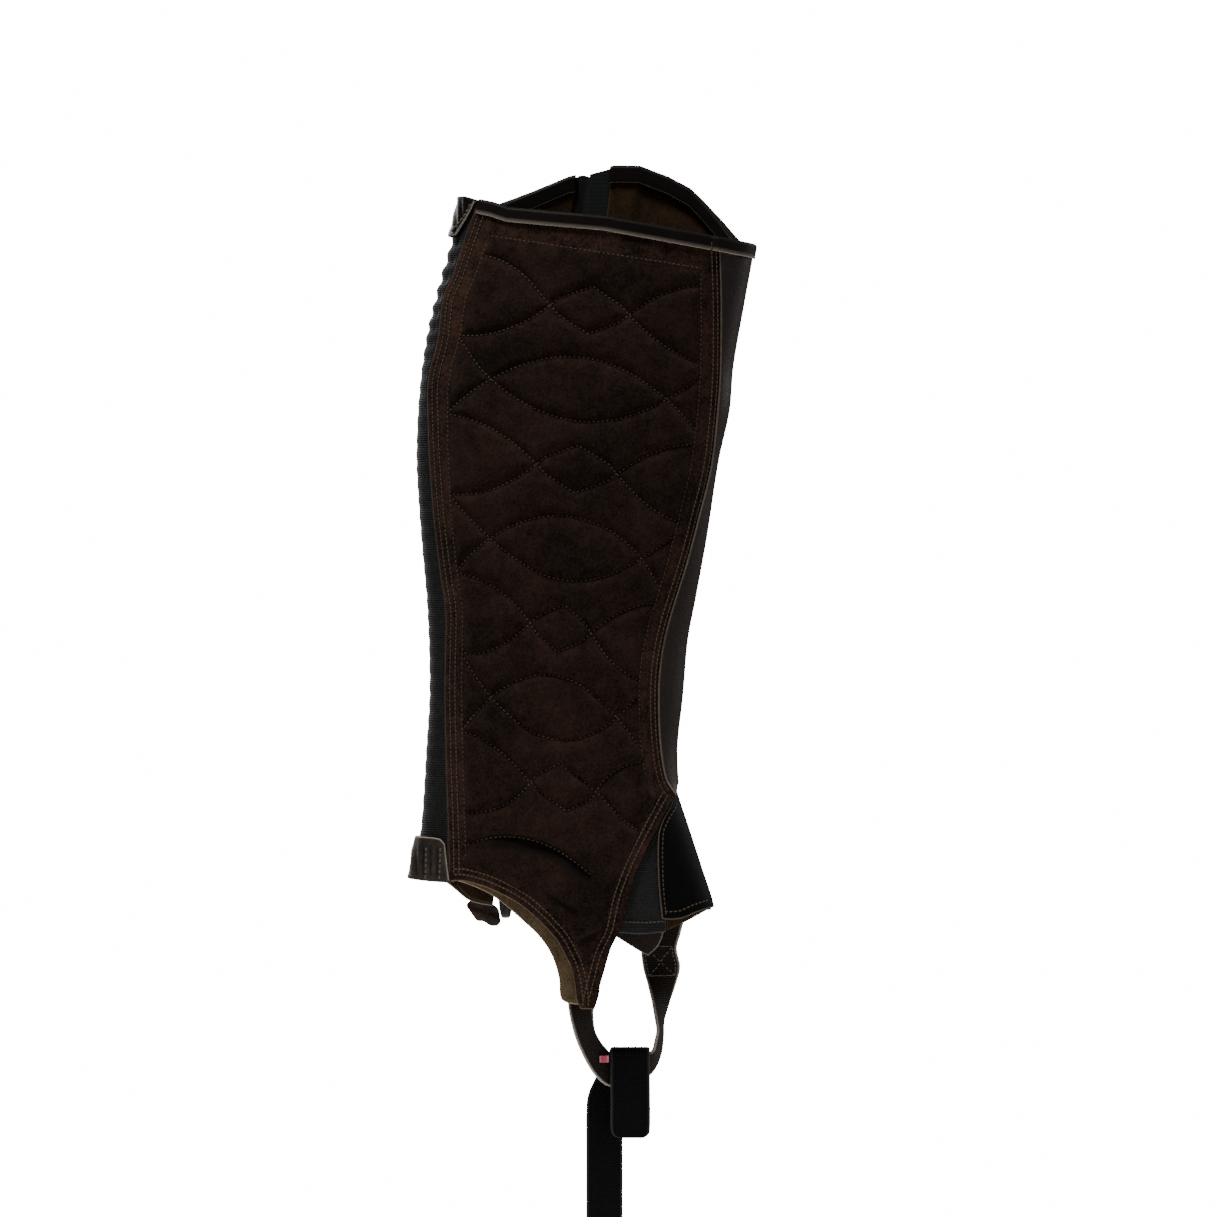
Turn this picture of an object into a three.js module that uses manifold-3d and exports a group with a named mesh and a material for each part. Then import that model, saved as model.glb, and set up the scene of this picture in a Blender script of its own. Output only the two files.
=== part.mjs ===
// Half chap for the left or right lower leg, shown hanging as worn, inner side towards -Y.
// X runs from the calf to the shin, Z is up, and the origin is the middle of the top opening.
// Every panel is a layer of one leg form, cut to its outline seen from the side.
import * as THREE from 'three';
import { mergeVertices } from 'three/addons/utils/BufferGeometryUtils.js';
import Module from 'manifold-3d';

const wasm = await Module();
wasm.setup();

// Driving sizes, in millimetres.
const LEG_WIDTH = 174;
const LEG_HEIGHT = 400;
const LEG_DEPTH = 68;
const GAP = 0.3;
const SHELL_THICKNESS = 1.5;
const VAMP_THICKNESS = 1.4;
const SUEDE_THICKNESS = 2.5;
const QUILT_PUFF = 1.7;
const LINING_THICKNESS = 1.0;
const ELASTIC_THICKNESS = 1.2;
const ELASTIC_DEPTH = 0.6;
const BINDING_THICKNESS = 1.0;
const BINDING_OUTER = 7.8;
const BINDING_INNER = 9.2;
const TAB_THICKNESS = 1.6;
const TAPE_THICKNESS = 0.8;
const COIL_WIDTH = 6.0;
const STRAP_THICKNESS = 1.6;
const ADJUSTER_WIDTH = 20.6;
const ADJUSTER_THICKNESS = 1.8;
const ELASTIC_FAR_REACH = 20.8;
const LAP = 5.2;
const FORM_COLUMNS = 26;

// The tables below give lengths as shares: down of LEG_HEIGHT, across of LEG_WIDTH,
// inner and outer of LEG_DEPTH.

// Rear fold of the leg, from top to bottom.
const REAR_FOLD = [
  { down: -0.0585, across: -0.3975 },
  { down: -0.0065, across: -0.4184 },
  { down: 0.0455, across: -0.4483 },
  { down: 0.0975, across: -0.4841 },
  { down: 0.1625, across: -0.52 },
  { down: 0.2405, across: -0.5439 },
  { down: 0.3185, across: -0.5529 },
  { down: 0.3614, across: -0.5499 },
  { down: 0.4355, across: -0.5379 },
  { down: 0.5265, across: -0.52 },
  { down: 0.6305, across: -0.514 },
  { down: 0.702, across: -0.523 },
  { down: 0.7891, across: -0.5349 },
  { down: 0.819, across: -0.5424 },
  { down: 0.8645, across: -0.5633 },
  { down: 0.91, across: -0.5648 },
  { down: 0.9815, across: -0.5439 },
  { down: 1.053, across: -0.508 },
];

// Shin fold of the leg, with the flare of the toe at its foot.
const SHIN_FOLD = [
  { down: -0.0585, across: 0.4587 },
  { down: -0.0065, across: 0.4587 },
  { down: 0.0455, across: 0.4543 },
  { down: 0.117, across: 0.4259 },
  { down: 0.2067, across: 0.39 },
  { down: 0.2665, across: 0.378 },
  { down: 0.3315, across: 0.3452 },
  { down: 0.4368, across: 0.3078 },
  { down: 0.5109, across: 0.2764 },
  { down: 0.5655, across: 0.2525 },
  { down: 0.6396, across: 0.2376 },
  { down: 0.702, across: 0.2226 },
  { down: 0.7514, across: 0.2256 },
  { down: 0.7696, across: 0.2361 },
  { down: 0.8047, across: 0.263 },
  { down: 0.8645, across: 0.3078 },
  { down: 0.91, across: 0.3407 },
  { down: 0.9815, across: 0.3646 },
  { down: 1.053, across: 0.3766 },
];

// Top edge on the inner side of the leg.
const NEAR_TOP = [
  { down: -0.0117, across: -0.8966 },
  { down: -0.0117, across: -0.4005 },
  { down: -0.0078, across: -0.3706 },
  { down: -0.002, across: -0.3168 },
  { down: 0.0052, across: -0.269 },
  { down: 0.0104, across: -0.1524 },
  { down: 0.0169, across: 0.0149 },
  { down: 0.0319, across: 0.2062 },
  { down: 0.0455, across: 0.3855 },
  { down: 0.0507, across: 0.4632 },
  { down: 0.0559, across: 0.8966 },
];

// Top edge on the outer side of the leg, raised over the zip and the calf.
const FAR_TOP = [
  { down: -0.0117, across: -0.8966 },
  { down: -0.0104, across: -0.4005 },
  { down: -0.0052, across: -0.3586 },
  { down: -0.0026, across: -0.3168 },
  { down: -0.0208, across: -0.2092 },
  { down: -0.042, across: -0.0938 },
  { down: -0.0481, across: -0.0299 },
  { down: -0.0543, across: 0.0239 },
  { down: -0.0566, across: 0.0418 },
  { down: -0.0559, across: 0.1195 },
  { down: -0.0416, across: 0.2062 },
  { down: -0.026, across: 0.272 },
  { down: -0.0104, across: 0.3078 },
  { down: 0.0156, across: 0.3616 },
  { down: 0.0429, across: 0.4124 },
  { down: 0.0507, across: 0.4632 },
  { down: 0.0559, across: 0.8966 },
];

// Rear edge of the suede panel, beside the elastic.
const PANEL_REAR = [
  { down: -0.0117, across: -0.3616 },
  { down: -0.0026, across: -0.3646 },
  { down: 0.0234, across: -0.3867 },
  { down: 0.0442, across: -0.4034 },
  { down: 0.091, across: -0.4393 },
  { down: 0.1222, across: -0.4692 },
  { down: 0.1742, across: -0.4841 },
  { down: 0.2158, across: -0.508 },
  { down: 0.2418, across: -0.5155 },
  { down: 0.2795, across: -0.514 },
  { down: 0.3172, across: -0.511 },
  { down: 0.4069, across: -0.4961 },
  { down: 0.481, across: -0.4752 },
  { down: 0.5265, across: -0.4602 },
  { down: 0.5655, across: -0.4602 },
  { down: 0.6253, across: -0.4632 },
  { down: 0.6955, across: -0.4602 },
  { down: 0.7449, across: -0.4572 },
  { down: 0.8346, across: -0.4513 },
  { down: 0.8775, across: -0.4513 },
];

// Edge of the suede panel from its heel corner to its point.
const PANEL_LOWER_REAR = [
  { down: 0.8775, across: -0.4513 },
  { down: 0.8769, across: -0.4094 },
  { down: 0.8801, across: -0.3766 },
  { down: 0.8853, across: -0.3377 },
  { down: 0.8957, across: -0.2839 },
  { down: 0.9087, across: -0.2331 },
  { down: 0.9243, across: -0.1913 },
  { down: 0.9386, across: -0.1584 },
  { down: 0.9555, across: -0.1255 },
  { down: 0.9724, across: -0.1046 },
  { down: 0.9893, across: -0.0867 },
  { down: 1.0127, across: -0.0747 },
  { down: 1.0335, across: -0.0687 },
  { down: 1.0439, across: -0.0568 },
];

// Edge of the suede panel from the ankle down to its point.
const PANEL_LOWER_FRONT = [
  { down: 0.7696, across: 0.2197 },
  { down: 0.7748, across: 0.2122 },
  { down: 0.8138, across: 0.1644 },
  { down: 0.8554, across: 0.1166 },
  { down: 0.8996, across: 0.0777 },
  { down: 0.9438, across: 0.0538 },
  { down: 0.975, across: 0.0209 },
  { down: 1.0205, across: -0.0075 },
  { down: 1.0348, across: -0.0158 },
  { down: 1.0439, across: -0.0149 },
];

// Front edge of the suede panel, under the lap of the shell, down to the ankle.
const PANEL_FRONT = [
  { down: -0.0195, across: 0.3855 },
  { down: 0.065, across: 0.3855 },
  { down: 0.117, across: 0.3885 },
  { down: 0.1612, across: 0.3885 },
  { down: 0.2275, across: 0.3855 },
  { down: 0.2873, across: 0.3736 },
  { down: 0.3471, across: 0.3556 },
  { down: 0.4121, across: 0.3198 },
  { down: 0.4667, across: 0.2869 },
  { down: 0.5408, across: 0.2346 },
  { down: 0.585, across: 0.2122 },
  { down: 0.6305, across: 0.2032 },
  { down: 0.6942, across: 0.2062 },
  { down: 0.7449, across: 0.2211 },
];

// Raw front seam edge of the leather shell, lapped over the suede.
const SHELL_SEAM = [
  { down: -0.0195, across: 0.3526 },
  { down: 0.065, across: 0.3526 },
  { down: 0.117, across: 0.3556 },
  { down: 0.1612, across: 0.3556 },
  { down: 0.2275, across: 0.3526 },
  { down: 0.2873, across: 0.3422 },
  { down: 0.3471, across: 0.3228 },
  { down: 0.4121, across: 0.2869 },
  { down: 0.4667, across: 0.254 },
  { down: 0.5408, across: 0.2017 },
  { down: 0.585, across: 0.1793 },
  { down: 0.6305, across: 0.1703 },
  { down: 0.6942, across: 0.1733 },
  { down: 0.7449, across: 0.1913 },
  { down: 0.767, across: 0.2211 },
];

// Edge of the shell on the outer side, from the heel corner up over the instep.
const VAMP_SEAM = [
  { down: 0.9529, across: 0.0628 },
  { down: 0.8645, across: 0.0628 },
  { down: 0.8255, across: 0.0687 },
  { down: 0.8047, across: 0.0789 },
  { down: 0.795, across: 0.092 },
  { down: 0.7822, across: 0.1213 },
  { down: 0.7696, across: 0.1539 },
  { down: 0.7579, across: 0.1931 },
  { down: 0.7514, across: 0.2322 },
  { down: 0.7475, across: 0.4782 },
];

// Lower edge on the outer side, from the rear fold to the instep seam.
const OUTER_HEM = [
  { down: 0.8671, across: -0.8966 },
  { down: 0.8671, across: -0.5618 },
  { down: 0.8801, across: -0.4722 },
  { down: 0.9061, across: -0.3945 },
  { down: 0.9178, across: -0.2989 },
  { down: 0.9276, across: -0.2241 },
  { down: 0.9373, across: -0.1195 },
  { down: 0.9477, across: 0 },
  { down: 0.9529, across: 0.0508 },
  { down: 0.9555, across: 0.0897 },
];

// Half depths of the leg, to the inner and to the outer side.
const LEG_DEPTHS = [
  { down: -0.0585, inner: 0.39, outer: 0.46 },
  { down: 0.0455, inner: 0.40, outer: 0.49 },
  { down: 0.1625, inner: 0.42, outer: 0.54 },
  { down: 0.3185, inner: 0.44, outer: 0.56 },
  { down: 0.4355, inner: 0.43, outer: 0.53 },
  { down: 0.5655, inner: 0.40, outer: 0.48 },
  { down: 0.7020, inner: 0.385, outer: 0.45 },
  { down: 0.8190, inner: 0.385, outer: 0.45 },
  { down: 0.9100, inner: 0.37, outer: 0.45 },
  { down: 0.9815, inner: 0.30, outer: 0.44 },
  { down: 1.0530, inner: 0.20, outer: 0.42 },
];

// Heights of the form's rows: close together over the ankle, where the leather folds.
const FORM_ROWS = [
  -0.0741, -0.0420, -0.0120, 0.0180, 0.0540, 0.1000, 0.1600, 0.2260, 0.2920, 0.3580, 0.4200, 0.4800,
  0.5300, 0.5780, 0.6260, 0.6740, 0.7220, 0.7700, 0.8180, 0.8660, 0.9140, 0.9640, 1.0491,
];

// Folds of the shell over the ankle on the outer side: place, tilt, reach and height in share of LAP.
const ANKLE_FOLDS = [
  { down: 0.545, across: 0.10, slope: -0.25, reach: 0.20, width: 0.020, rise: 0.42 },
  { down: 0.612, across: 0.08, slope: -0.30, reach: 0.18, width: 0.016, rise: 0.46 },
  { down: 0.668, across: 0.09, slope: -0.34, reach: 0.16, width: 0.015, rise: 0.38 },
  { down: 0.722, across: 0.10, slope: -0.30, reach: 0.14, width: 0.014, rise: 0.30 },
];

// Quilting: one repeat of the pattern in share of LEG_HEIGHT, and the first diamond's centre.
const QUILT_REPEAT = 0.2054;
const QUILT_FIRST = 0.1391;
const QUILT_TILT = 0.18;

// Value of a table's column at a height, along a smooth curve through its rows.
function lookup(table, column, down) {
  const last = table.length - 1;
  if (down <= table[0].down) return table[0][column];
  if (down >= table[last].down) return table[last][column];
  let i = 0;
  while (table[i + 1].down < down) i += 1;
  const slope = (a, b) => {
    const drop = Math.max(table[b].down - table[a].down, 1e-9);
    return (table[b][column] - table[a][column]) / drop;
  };
  const m0 = slope(Math.max(i - 1, 0), Math.min(i + 1, last));
  const m1 = slope(i, Math.min(i + 2, last));
  const h = table[i + 1].down - table[i].down;
  const t = (down - table[i].down) / h;
  const a = (1 + 2 * t) * (1 - t) * (1 - t) * table[i][column] + t * (1 - t) * (1 - t) * h * m0;
  const b = t * t * (3 - 2 * t) * table[i + 1][column] + t * t * (t - 1) * h * m1;
  return a + b;
}

// Straight-line value of a table at a height.
function lookupLine(table, column, down) {
  const last = table.length - 1;
  if (down <= table[0].down) return table[0][column];
  for (let i = 0; i < last; i += 1) {
    const a = table[i];
    const b = table[i + 1];
    if (down <= b.down && b.down > a.down) {
      return a[column] + ((b[column] - a[column]) * (down - a.down)) / (b.down - a.down);
    }
  }
  return table[last][column];
}

function signedPower(value, power) {
  return Math.sign(value) * Math.abs(value) ** power;
}

// Point of the leg form: angle 0 is the shin, 90 degrees the outer side, 180 the rear fold.
function legPoint(angle, down) {
  const rear = lookup(REAR_FOLD, 'across', down) * LEG_WIDTH;
  const front = lookup(SHIN_FOLD, 'across', down) * LEG_WIDTH;
  const middle = (rear + front) / 2;
  const half = (front - rear) / 2;
  const side = Math.sin(angle) >= 0 ? 'outer' : 'inner';
  const power = side === 'outer' ? 2 / 2.25 : 2 / 2.5;
  const depth = lookup(LEG_DEPTHS, side, down) * LEG_DEPTH;
  return new THREE.Vector3(
    middle + half * signedPower(Math.cos(angle), 2 / 2.25),
    depth * signedPower(Math.sin(angle), power),
    -down * LEG_HEIGHT,
  );
}

// Outward direction of the leg form.
function legNormal(angle, down) {
  const e = 1e-3;
  const around = legPoint(angle + e, down).sub(legPoint(angle - e, down));
  const up = legPoint(angle, down - e).sub(legPoint(angle, down + e));
  return around.cross(up).normalize();
}

// Angle on the leg form of a place given across the leg, on the inner (-1) or outer (+1) side.
function legAngle(x, down, side) {
  const rear = lookup(REAR_FOLD, 'across', down) * LEG_WIDTH;
  const front = lookup(SHIN_FOLD, 'across', down) * LEG_WIDTH;
  const share = THREE.MathUtils.clamp((2 * x - rear - front) / (front - rear), -1, 1);
  return side * Math.acos(signedPower(share, 2.25 / 2));
}

function legPlace(x, down, side, offset) {
  const angle = legAngle(x, down, side);
  return legPoint(angle, down).addScaledVector(legNormal(angle, down), offset);
}

// Closed solid from a list of points and triangles, turned so that its faces point out.
function solid(points, triangles) {
  let volume = 0;
  for (const [a, b, c] of triangles) {
    volume += points[a].dot(new THREE.Vector3().crossVectors(points[b], points[c]));
  }
  const turn = volume < 0;
  const index = triangles.flatMap(([a, b, c]) => (turn ? [a, c, b] : [a, b, c]));
  const vertices = points.flatMap((p) => [p.x, p.y, p.z]);
  return new wasm.Manifold(new wasm.Mesh({
    numProp: 3,
    vertProperties: new Float32Array(vertices),
    triVerts: new Uint32Array(index),
  }));
}

function solidOfGeometry(geometry) {
  geometry.deleteAttribute('normal');
  geometry.deleteAttribute('uv');
  const merged = mergeVertices(geometry, 1e-4);
  return new wasm.Manifold(new wasm.Mesh({
    numProp: 3,
    vertProperties: new Float32Array(merged.attributes.position.array),
    triVerts: new Uint32Array(merged.index.array),
  }));
}

// Closed layer of the leg form between two offsets, each a number or a function of angle and down.
// The outer face can have extra rows between the form's rows, for the quilting.
function layer(outer, inner, splits = 1) {
  const outerAt = typeof outer === 'function' ? outer : () => outer;
  const innerAt = typeof inner === 'function' ? inner : () => inner;
  const points = [];
  const triangles = [];
  const rows = FORM_ROWS.length;
  const fineRows = (rows - 1) * splits + 1;
  const fineDown = (r) => {
    const i = Math.min(Math.floor(r / splits), rows - 2);
    const t = r / splits - i;
    return FORM_ROWS[i] * (1 - t) + FORM_ROWS[i + 1] * t;
  };
  const angleAt = (c) => (2 * Math.PI * c) / FORM_COLUMNS;
  // A split row keeps to the flat facets of the form between two of its own rows.
  const facePoint = (c, down, offset) => {
    const angle = angleAt(c);
    let i = 0;
    while (i < rows - 2 && FORM_ROWS[i + 1] < down - 1e-9) i += 1;
    const t = (down - FORM_ROWS[i]) / (FORM_ROWS[i + 1] - FORM_ROWS[i]);
    const a = legPoint(angle, FORM_ROWS[i]);
    const b = legPoint(angle, FORM_ROWS[i + 1]);
    const n = legNormal(angle, FORM_ROWS[i]).lerp(legNormal(angle, FORM_ROWS[i + 1]), t).normalize();
    return a.lerp(b, t).addScaledVector(n, offset(angle, down));
  };
  for (let r = 0; r < fineRows; r += 1) {
    for (let c = 0; c < FORM_COLUMNS; c += 1) points.push(facePoint(c, fineDown(r), outerAt));
  }
  for (let r = 0; r < rows; r += 1) {
    for (let c = 0; c < FORM_COLUMNS; c += 1) points.push(facePoint(c, FORM_ROWS[r], innerAt));
  }
  const start = fineRows * FORM_COLUMNS;
  const out = (r, c) => r * FORM_COLUMNS + (c % FORM_COLUMNS);
  const inn = (r, c) => start + r * FORM_COLUMNS + (c % FORM_COLUMNS);
  for (let c = 0; c < FORM_COLUMNS; c += 1) {
    for (let r = 0; r < fineRows - 1; r += 1) {
      triangles.push([out(r, c), out(r + 1, c), out(r + 1, c + 1)]);
      triangles.push([out(r, c), out(r + 1, c + 1), out(r, c + 1)]);
    }
    for (let r = 0; r < rows - 1; r += 1) {
      triangles.push([inn(r, c), inn(r + 1, c + 1), inn(r + 1, c)]);
      triangles.push([inn(r, c), inn(r, c + 1), inn(r + 1, c + 1)]);
    }
    triangles.push([out(0, c), out(0, c + 1), inn(0, c + 1)]);
    triangles.push([out(0, c), inn(0, c + 1), inn(0, c)]);
    triangles.push([out(fineRows - 1, c), inn(rows - 1, c + 1), out(fineRows - 1, c + 1)]);
    triangles.push([out(fineRows - 1, c), inn(rows - 1, c), inn(rows - 1, c + 1)]);
  }
  return solid(points, triangles);
}

// Outline points in millimetres as [x, z], from table rows.
function outline(table, shiftX = 0, shiftZ = 0) {
  return table.map((row) => [row.across * LEG_WIDTH + shiftX, -row.down * LEG_HEIGHT + shiftZ]);
}

// Block that holds everything within an outline on one side of the leg (-1 inner, +1 outer).
function block(points, side) {
  const shape = new THREE.Shape(points.map(([x, z]) => new THREE.Vector2(x, z)));
  const reach = LEG_DEPTH * 2;
  const geometry = new THREE.ExtrudeGeometry(shape, { depth: reach, bevelEnabled: false });
  geometry.rotateX(Math.PI / 2);
  if (side > 0) geometry.translate(0, reach, 0);
  const position = geometry.attributes.position;
  for (let i = 0; i < position.count; i += 1) position.setY(i, Math.round(position.getY(i)));
  return solidOfGeometry(geometry);
}

// Part of a layer within an inner-side outline and an outer-side outline.
function cut(layerSolid, innerOutline, outerOutline) {
  const blocks = [];
  if (innerOutline) blocks.push(block(innerOutline, -1));
  if (outerOutline) blocks.push(block(outerOutline, 1));
  const kept = blocks.length === 2 ? blocks[0].add(blocks[1]) : blocks[0];
  return layerSolid.intersect(kept);
}

// Largest body of a solid, without the slivers left by a cut.
function mainBody(shape) {
  let body = shape;
  for (let pass = 0; pass < 2; pass += 1) {
    const bodies = body.decompose();
    bodies.sort((a, b) => b.volume() - a.volume());
    const { vertProperties, triVerts } = bodies[0].getMesh();
    const loose = new THREE.BufferGeometry();
    loose.setAttribute('position', new THREE.BufferAttribute(new Float32Array(vertProperties), 3));
    loose.setIndex(new THREE.BufferAttribute(new Uint32Array(triVerts), 1));
    const merged = mergeVertices(loose.toNonIndexed(), 1e-3);
    body = new wasm.Manifold(new wasm.Mesh({
      numProp: 3,
      vertProperties: new Float32Array(merged.attributes.position.array),
      triVerts: new Uint32Array(merged.index.array),
    }));
  }
  return body.decompose().sort((a, b) => b.volume() - a.volume())[0];
}

const reversed = (list) => [...list].reverse();
const shifted = (list, dx, dz) => list.map(([x, z]) => [x + dx, z + dz]);
const spot = (across, down) => [across * LEG_WIDTH, -down * LEG_HEIGHT];
const lineAt = (table, down) => lookupLine(table, 'across', down) * LEG_WIDTH;
const FAR = LEG_WIDTH * 1.5;

// Row of a line across the leg between two places, as heights on that line.
function between(points, fromX, toX) {
  const at = (x) => {
    for (let i = 0; i < points.length - 1; i += 1) {
      const [x0, z0] = points[i];
      const [x1, z1] = points[i + 1];
      if (x >= x0 && x <= x1) return z0 + ((z1 - z0) * (x - x0)) / (x1 - x0);
    }
    return x < points[0][0] ? points[0][1] : points[points.length - 1][1];
  };
  const inside = points.filter(([x]) => x > fromX + 0.5 && x < toX - 0.5);
  return [[fromX, at(fromX)], ...inside, [toX, at(toX)]];
}

// Lines that the pieces share.
const innerTop = outline(NEAR_TOP);
const outerTop = outline(FAR_TOP);
const topDrop = BINDING_THICKNESS + GAP + 0.1;
const deep = -LEG_HEIGHT * 1.3;
const high = LEG_HEIGHT * 0.2;
const hem = outline(OUTER_HEM);
const vampSeam = outline(VAMP_SEAM);
const shellSeam = outline(SHELL_SEAM);
const panelRear = outline(PANEL_REAR);
const panelFront = outline(PANEL_FRONT);
const lowerRear = outline(PANEL_LOWER_REAR);
const lowerFront = outline(PANEL_LOWER_FRONT);

// Straight line of the zip on the outer side, and lines beside it, as [x, z] at top and bottom.
const ZIP_TOP = spot(-0.0478, -0.0455);
const ZIP_FOOT = spot(-0.2989, 0.9191);
const zipSlant = (ZIP_FOOT[0] - ZIP_TOP[0]) / (ZIP_FOOT[1] - ZIP_TOP[1]);
const zipX = (z) => ZIP_TOP[0] + zipSlant * (z - ZIP_TOP[1]);
const zipLine = (dxTop, dxFoot, zTop, zFoot) => [
  [zipX(zTop) + dxTop, zTop],
  [zipX(zFoot) + dxFoot, zFoot],
];
const FACING_EDGE = -4.2;
const SHELL_EDGE_TOP = 14.6;
const SHELL_EDGE_FOOT = 7.8;
const COIL_END = spot(-0.2839, 0.8944)[1];
const farElasticEdge = outline(REAR_FOLD, ELASTIC_FAR_REACH);

// Everything below the two top edges.
const bodyRegion = block([
  ...between(shifted(innerTop, 0, -topDrop), -FAR, FAR),
  [FAR, deep],
  [-FAR, deep],
], -1).add(block([
  ...between(shifted(outerTop, 0, -topDrop), -FAR, FAR),
  [FAR, deep],
  [-FAR, deep],
], 1));

// Place across the leg, in millimetres, of an angle of the form.
const acrossAt = (angle, down) => legPoint(angle, down).x;
const isInner = (angle) => Math.sin(angle) < -1e-9;

// Height of the quilting over the panel's flat margin.
function quiltHeight(angle, down) {
  if (!isInner(angle)) return 0;
  const x = acrossAt(angle, down);
  const marginRear = THREE.MathUtils.lerp(13.4, 9.1, THREE.MathUtils.clamp(down / 0.45, 0, 1));
  const left = lineAt(PANEL_REAR, down) + marginRear;
  const right = lineAt(SHELL_SEAM, down) - 9.6;
  const s = (x - left) / (right - left);
  let fade = THREE.MathUtils.clamp(Math.min(x - left, right - x) / 5, 0, 1);
  fade *= THREE.MathUtils.clamp((down - 0.055) * 80, 0, 1);
  if (down > 0.86) {
    const rearEdge = lineAt(PANEL_LOWER_REAR, down) + 7;
    const frontEdge = lineAt(PANEL_LOWER_FRONT, down) - 7;
    fade *= THREE.MathUtils.clamp(Math.min(x - rearEdge, frontEdge - x) / 8, 0, 1);
  }
  if (fade <= 0) return 0;
  const v = (down - QUILT_FIRST) / QUILT_REPEAT - QUILT_TILT * (s - 0.53);
  const lens = v - Math.floor(v);
  const diamond = v - Math.round(v);
  const mirror = s < 0.53 ? s : 1.06 - s;
  const arm = mirror < 0.4 ? 0.25 - 1.9 * mirror * mirror : -0.054 - (mirror - 0.4) * 0.74;
  const armSlope = mirror < 0.4 ? 3.8 * mirror : 0.74;
  const bow = 1.6 * (s - 0.52) ** 2;
  const steep = QUILT_REPEAT * LEG_HEIGHT / (right - left);
  const scale = (slope) => (QUILT_REPEAT * LEG_HEIGHT) / Math.hypot(1, slope * steep);
  const distance = Math.min(
    Math.abs(lens - 0.3 - bow) * scale(3.2 * (s - 0.52)),
    Math.abs(lens - 0.7 + bow) * scale(3.2 * (s - 0.52)),
    Math.abs(diamond - arm) * scale(armSlope),
    Math.abs(diamond + arm) * scale(armSlope),
  );
  return QUILT_PUFF * fade * (1 - Math.exp(-((distance / 4.5) ** 2)));
}

// Height of the ankle folds on the outer side of the shell.
function foldHeight(angle, down) {
  if (isInner(angle)) return 0;
  const share = acrossAt(angle, down) / LEG_WIDTH;
  let height = 0;
  for (const fold of ANKLE_FOLDS) {
    const along = (share - fold.across) / fold.reach;
    const off = (down - fold.down - fold.slope * (share - fold.across)) / fold.width;
    height += fold.rise * LAP * Math.exp(-along * along * 2 - off * off * 0.5);
  }
  return height;
}

// Depth of the lining below the form: deeper behind the zip tape and behind the vamp's edge.
function liningDrop(angle, down) {
  if (down > 0.70) return 1.7;
  if (isInner(angle)) return 0;
  const x = acrossAt(angle, down);
  return x < zipX(-down * LEG_HEIGHT) + SHELL_EDGE_TOP + 17 ? 1.7 : 0;
}

// Quilted suede panel on the inner side.
function panelOutline(inset) {
  return [
    [panelRear[0][0] + inset, high],
    ...shifted(panelRear, inset, 0),
    ...lowerRear.slice(1),
    ...reversed(lowerFront),
    ...shifted(reversed(panelFront), -inset, 0),
    [panelFront[0][0] - inset, high],
  ];
}
const panelLayer = layer(quiltHeight, -SUEDE_THICKNESS, 2).intersect(bodyRegion);
const quiltedPanel = mainBody(cut(panelLayer, panelOutline(0.1), null));

// Lining behind the suede, showing past the panel's lower rear edge.
const innerLiningTop = -SUEDE_THICKNESS - GAP;
const innerLiningLayer = layer(innerLiningTop, innerLiningTop - LINING_THICKNESS).intersect(bodyRegion);
const innerLining = mainBody(cut(innerLiningLayer, [
  [panelRear[0][0] + 1, high],
  ...shifted(panelRear.slice(0, -1), 1, 0),
  spot(-0.4453, 0.8749),
  spot(-0.3885, 0.8827),
  spot(-0.3287, 0.8944),
  spot(-0.269, 0.9139),
  spot(-0.2271, 0.9308),
  spot(-0.1883, 0.9464),
  spot(-0.1584, 0.9633),
  spot(-0.1375, 0.9815),
  spot(-0.1225, 1.0049),
  spot(-0.1136, 1.0335),
  spot(-0.0628, 1.04),
  spot(-0.0239, 1.0387),
  ...shifted(reversed(lowerFront).slice(1), -0.4, 0),
  ...shifted(reversed(panelFront), -0.4, 0),
  [panelFront[0][0] - 0.4, high],
], null));

// Leather shell round the shin, from the suede seam to the zip.
const shellTop = SHELL_THICKNESS + GAP;
const shellLayer = layer(
  (angle, down) => shellTop + foldHeight(angle, down),
  (angle, down) => GAP + foldHeight(angle, down),
).intersect(bodyRegion);
const shellZipEdge = zipLine(SHELL_EDGE_TOP, SHELL_EDGE_FOOT, high, spot(-0.254, 0.9256)[1]);
const outerShell = mainBody(cut(shellLayer, [
  [shellSeam[0][0], high],
  ...shellSeam,
  spot(0.2286, 0.7553),
  spot(0.3586, 0.7501),
  [FAR, spot(0.3586, 0.7501)[1]],
  [FAR, high],
], [
  ...shellZipEdge,
  ...hem.filter(([x]) => x > shellZipEdge[1][0] + 1 && x < vampSeam[0][0] - 1),
  ...vampSeam.slice(0, -1),
  spot(0.3586, 0.7501),
  [FAR, spot(0.3586, 0.7501)[1]],
  [FAR, high],
]));

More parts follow.
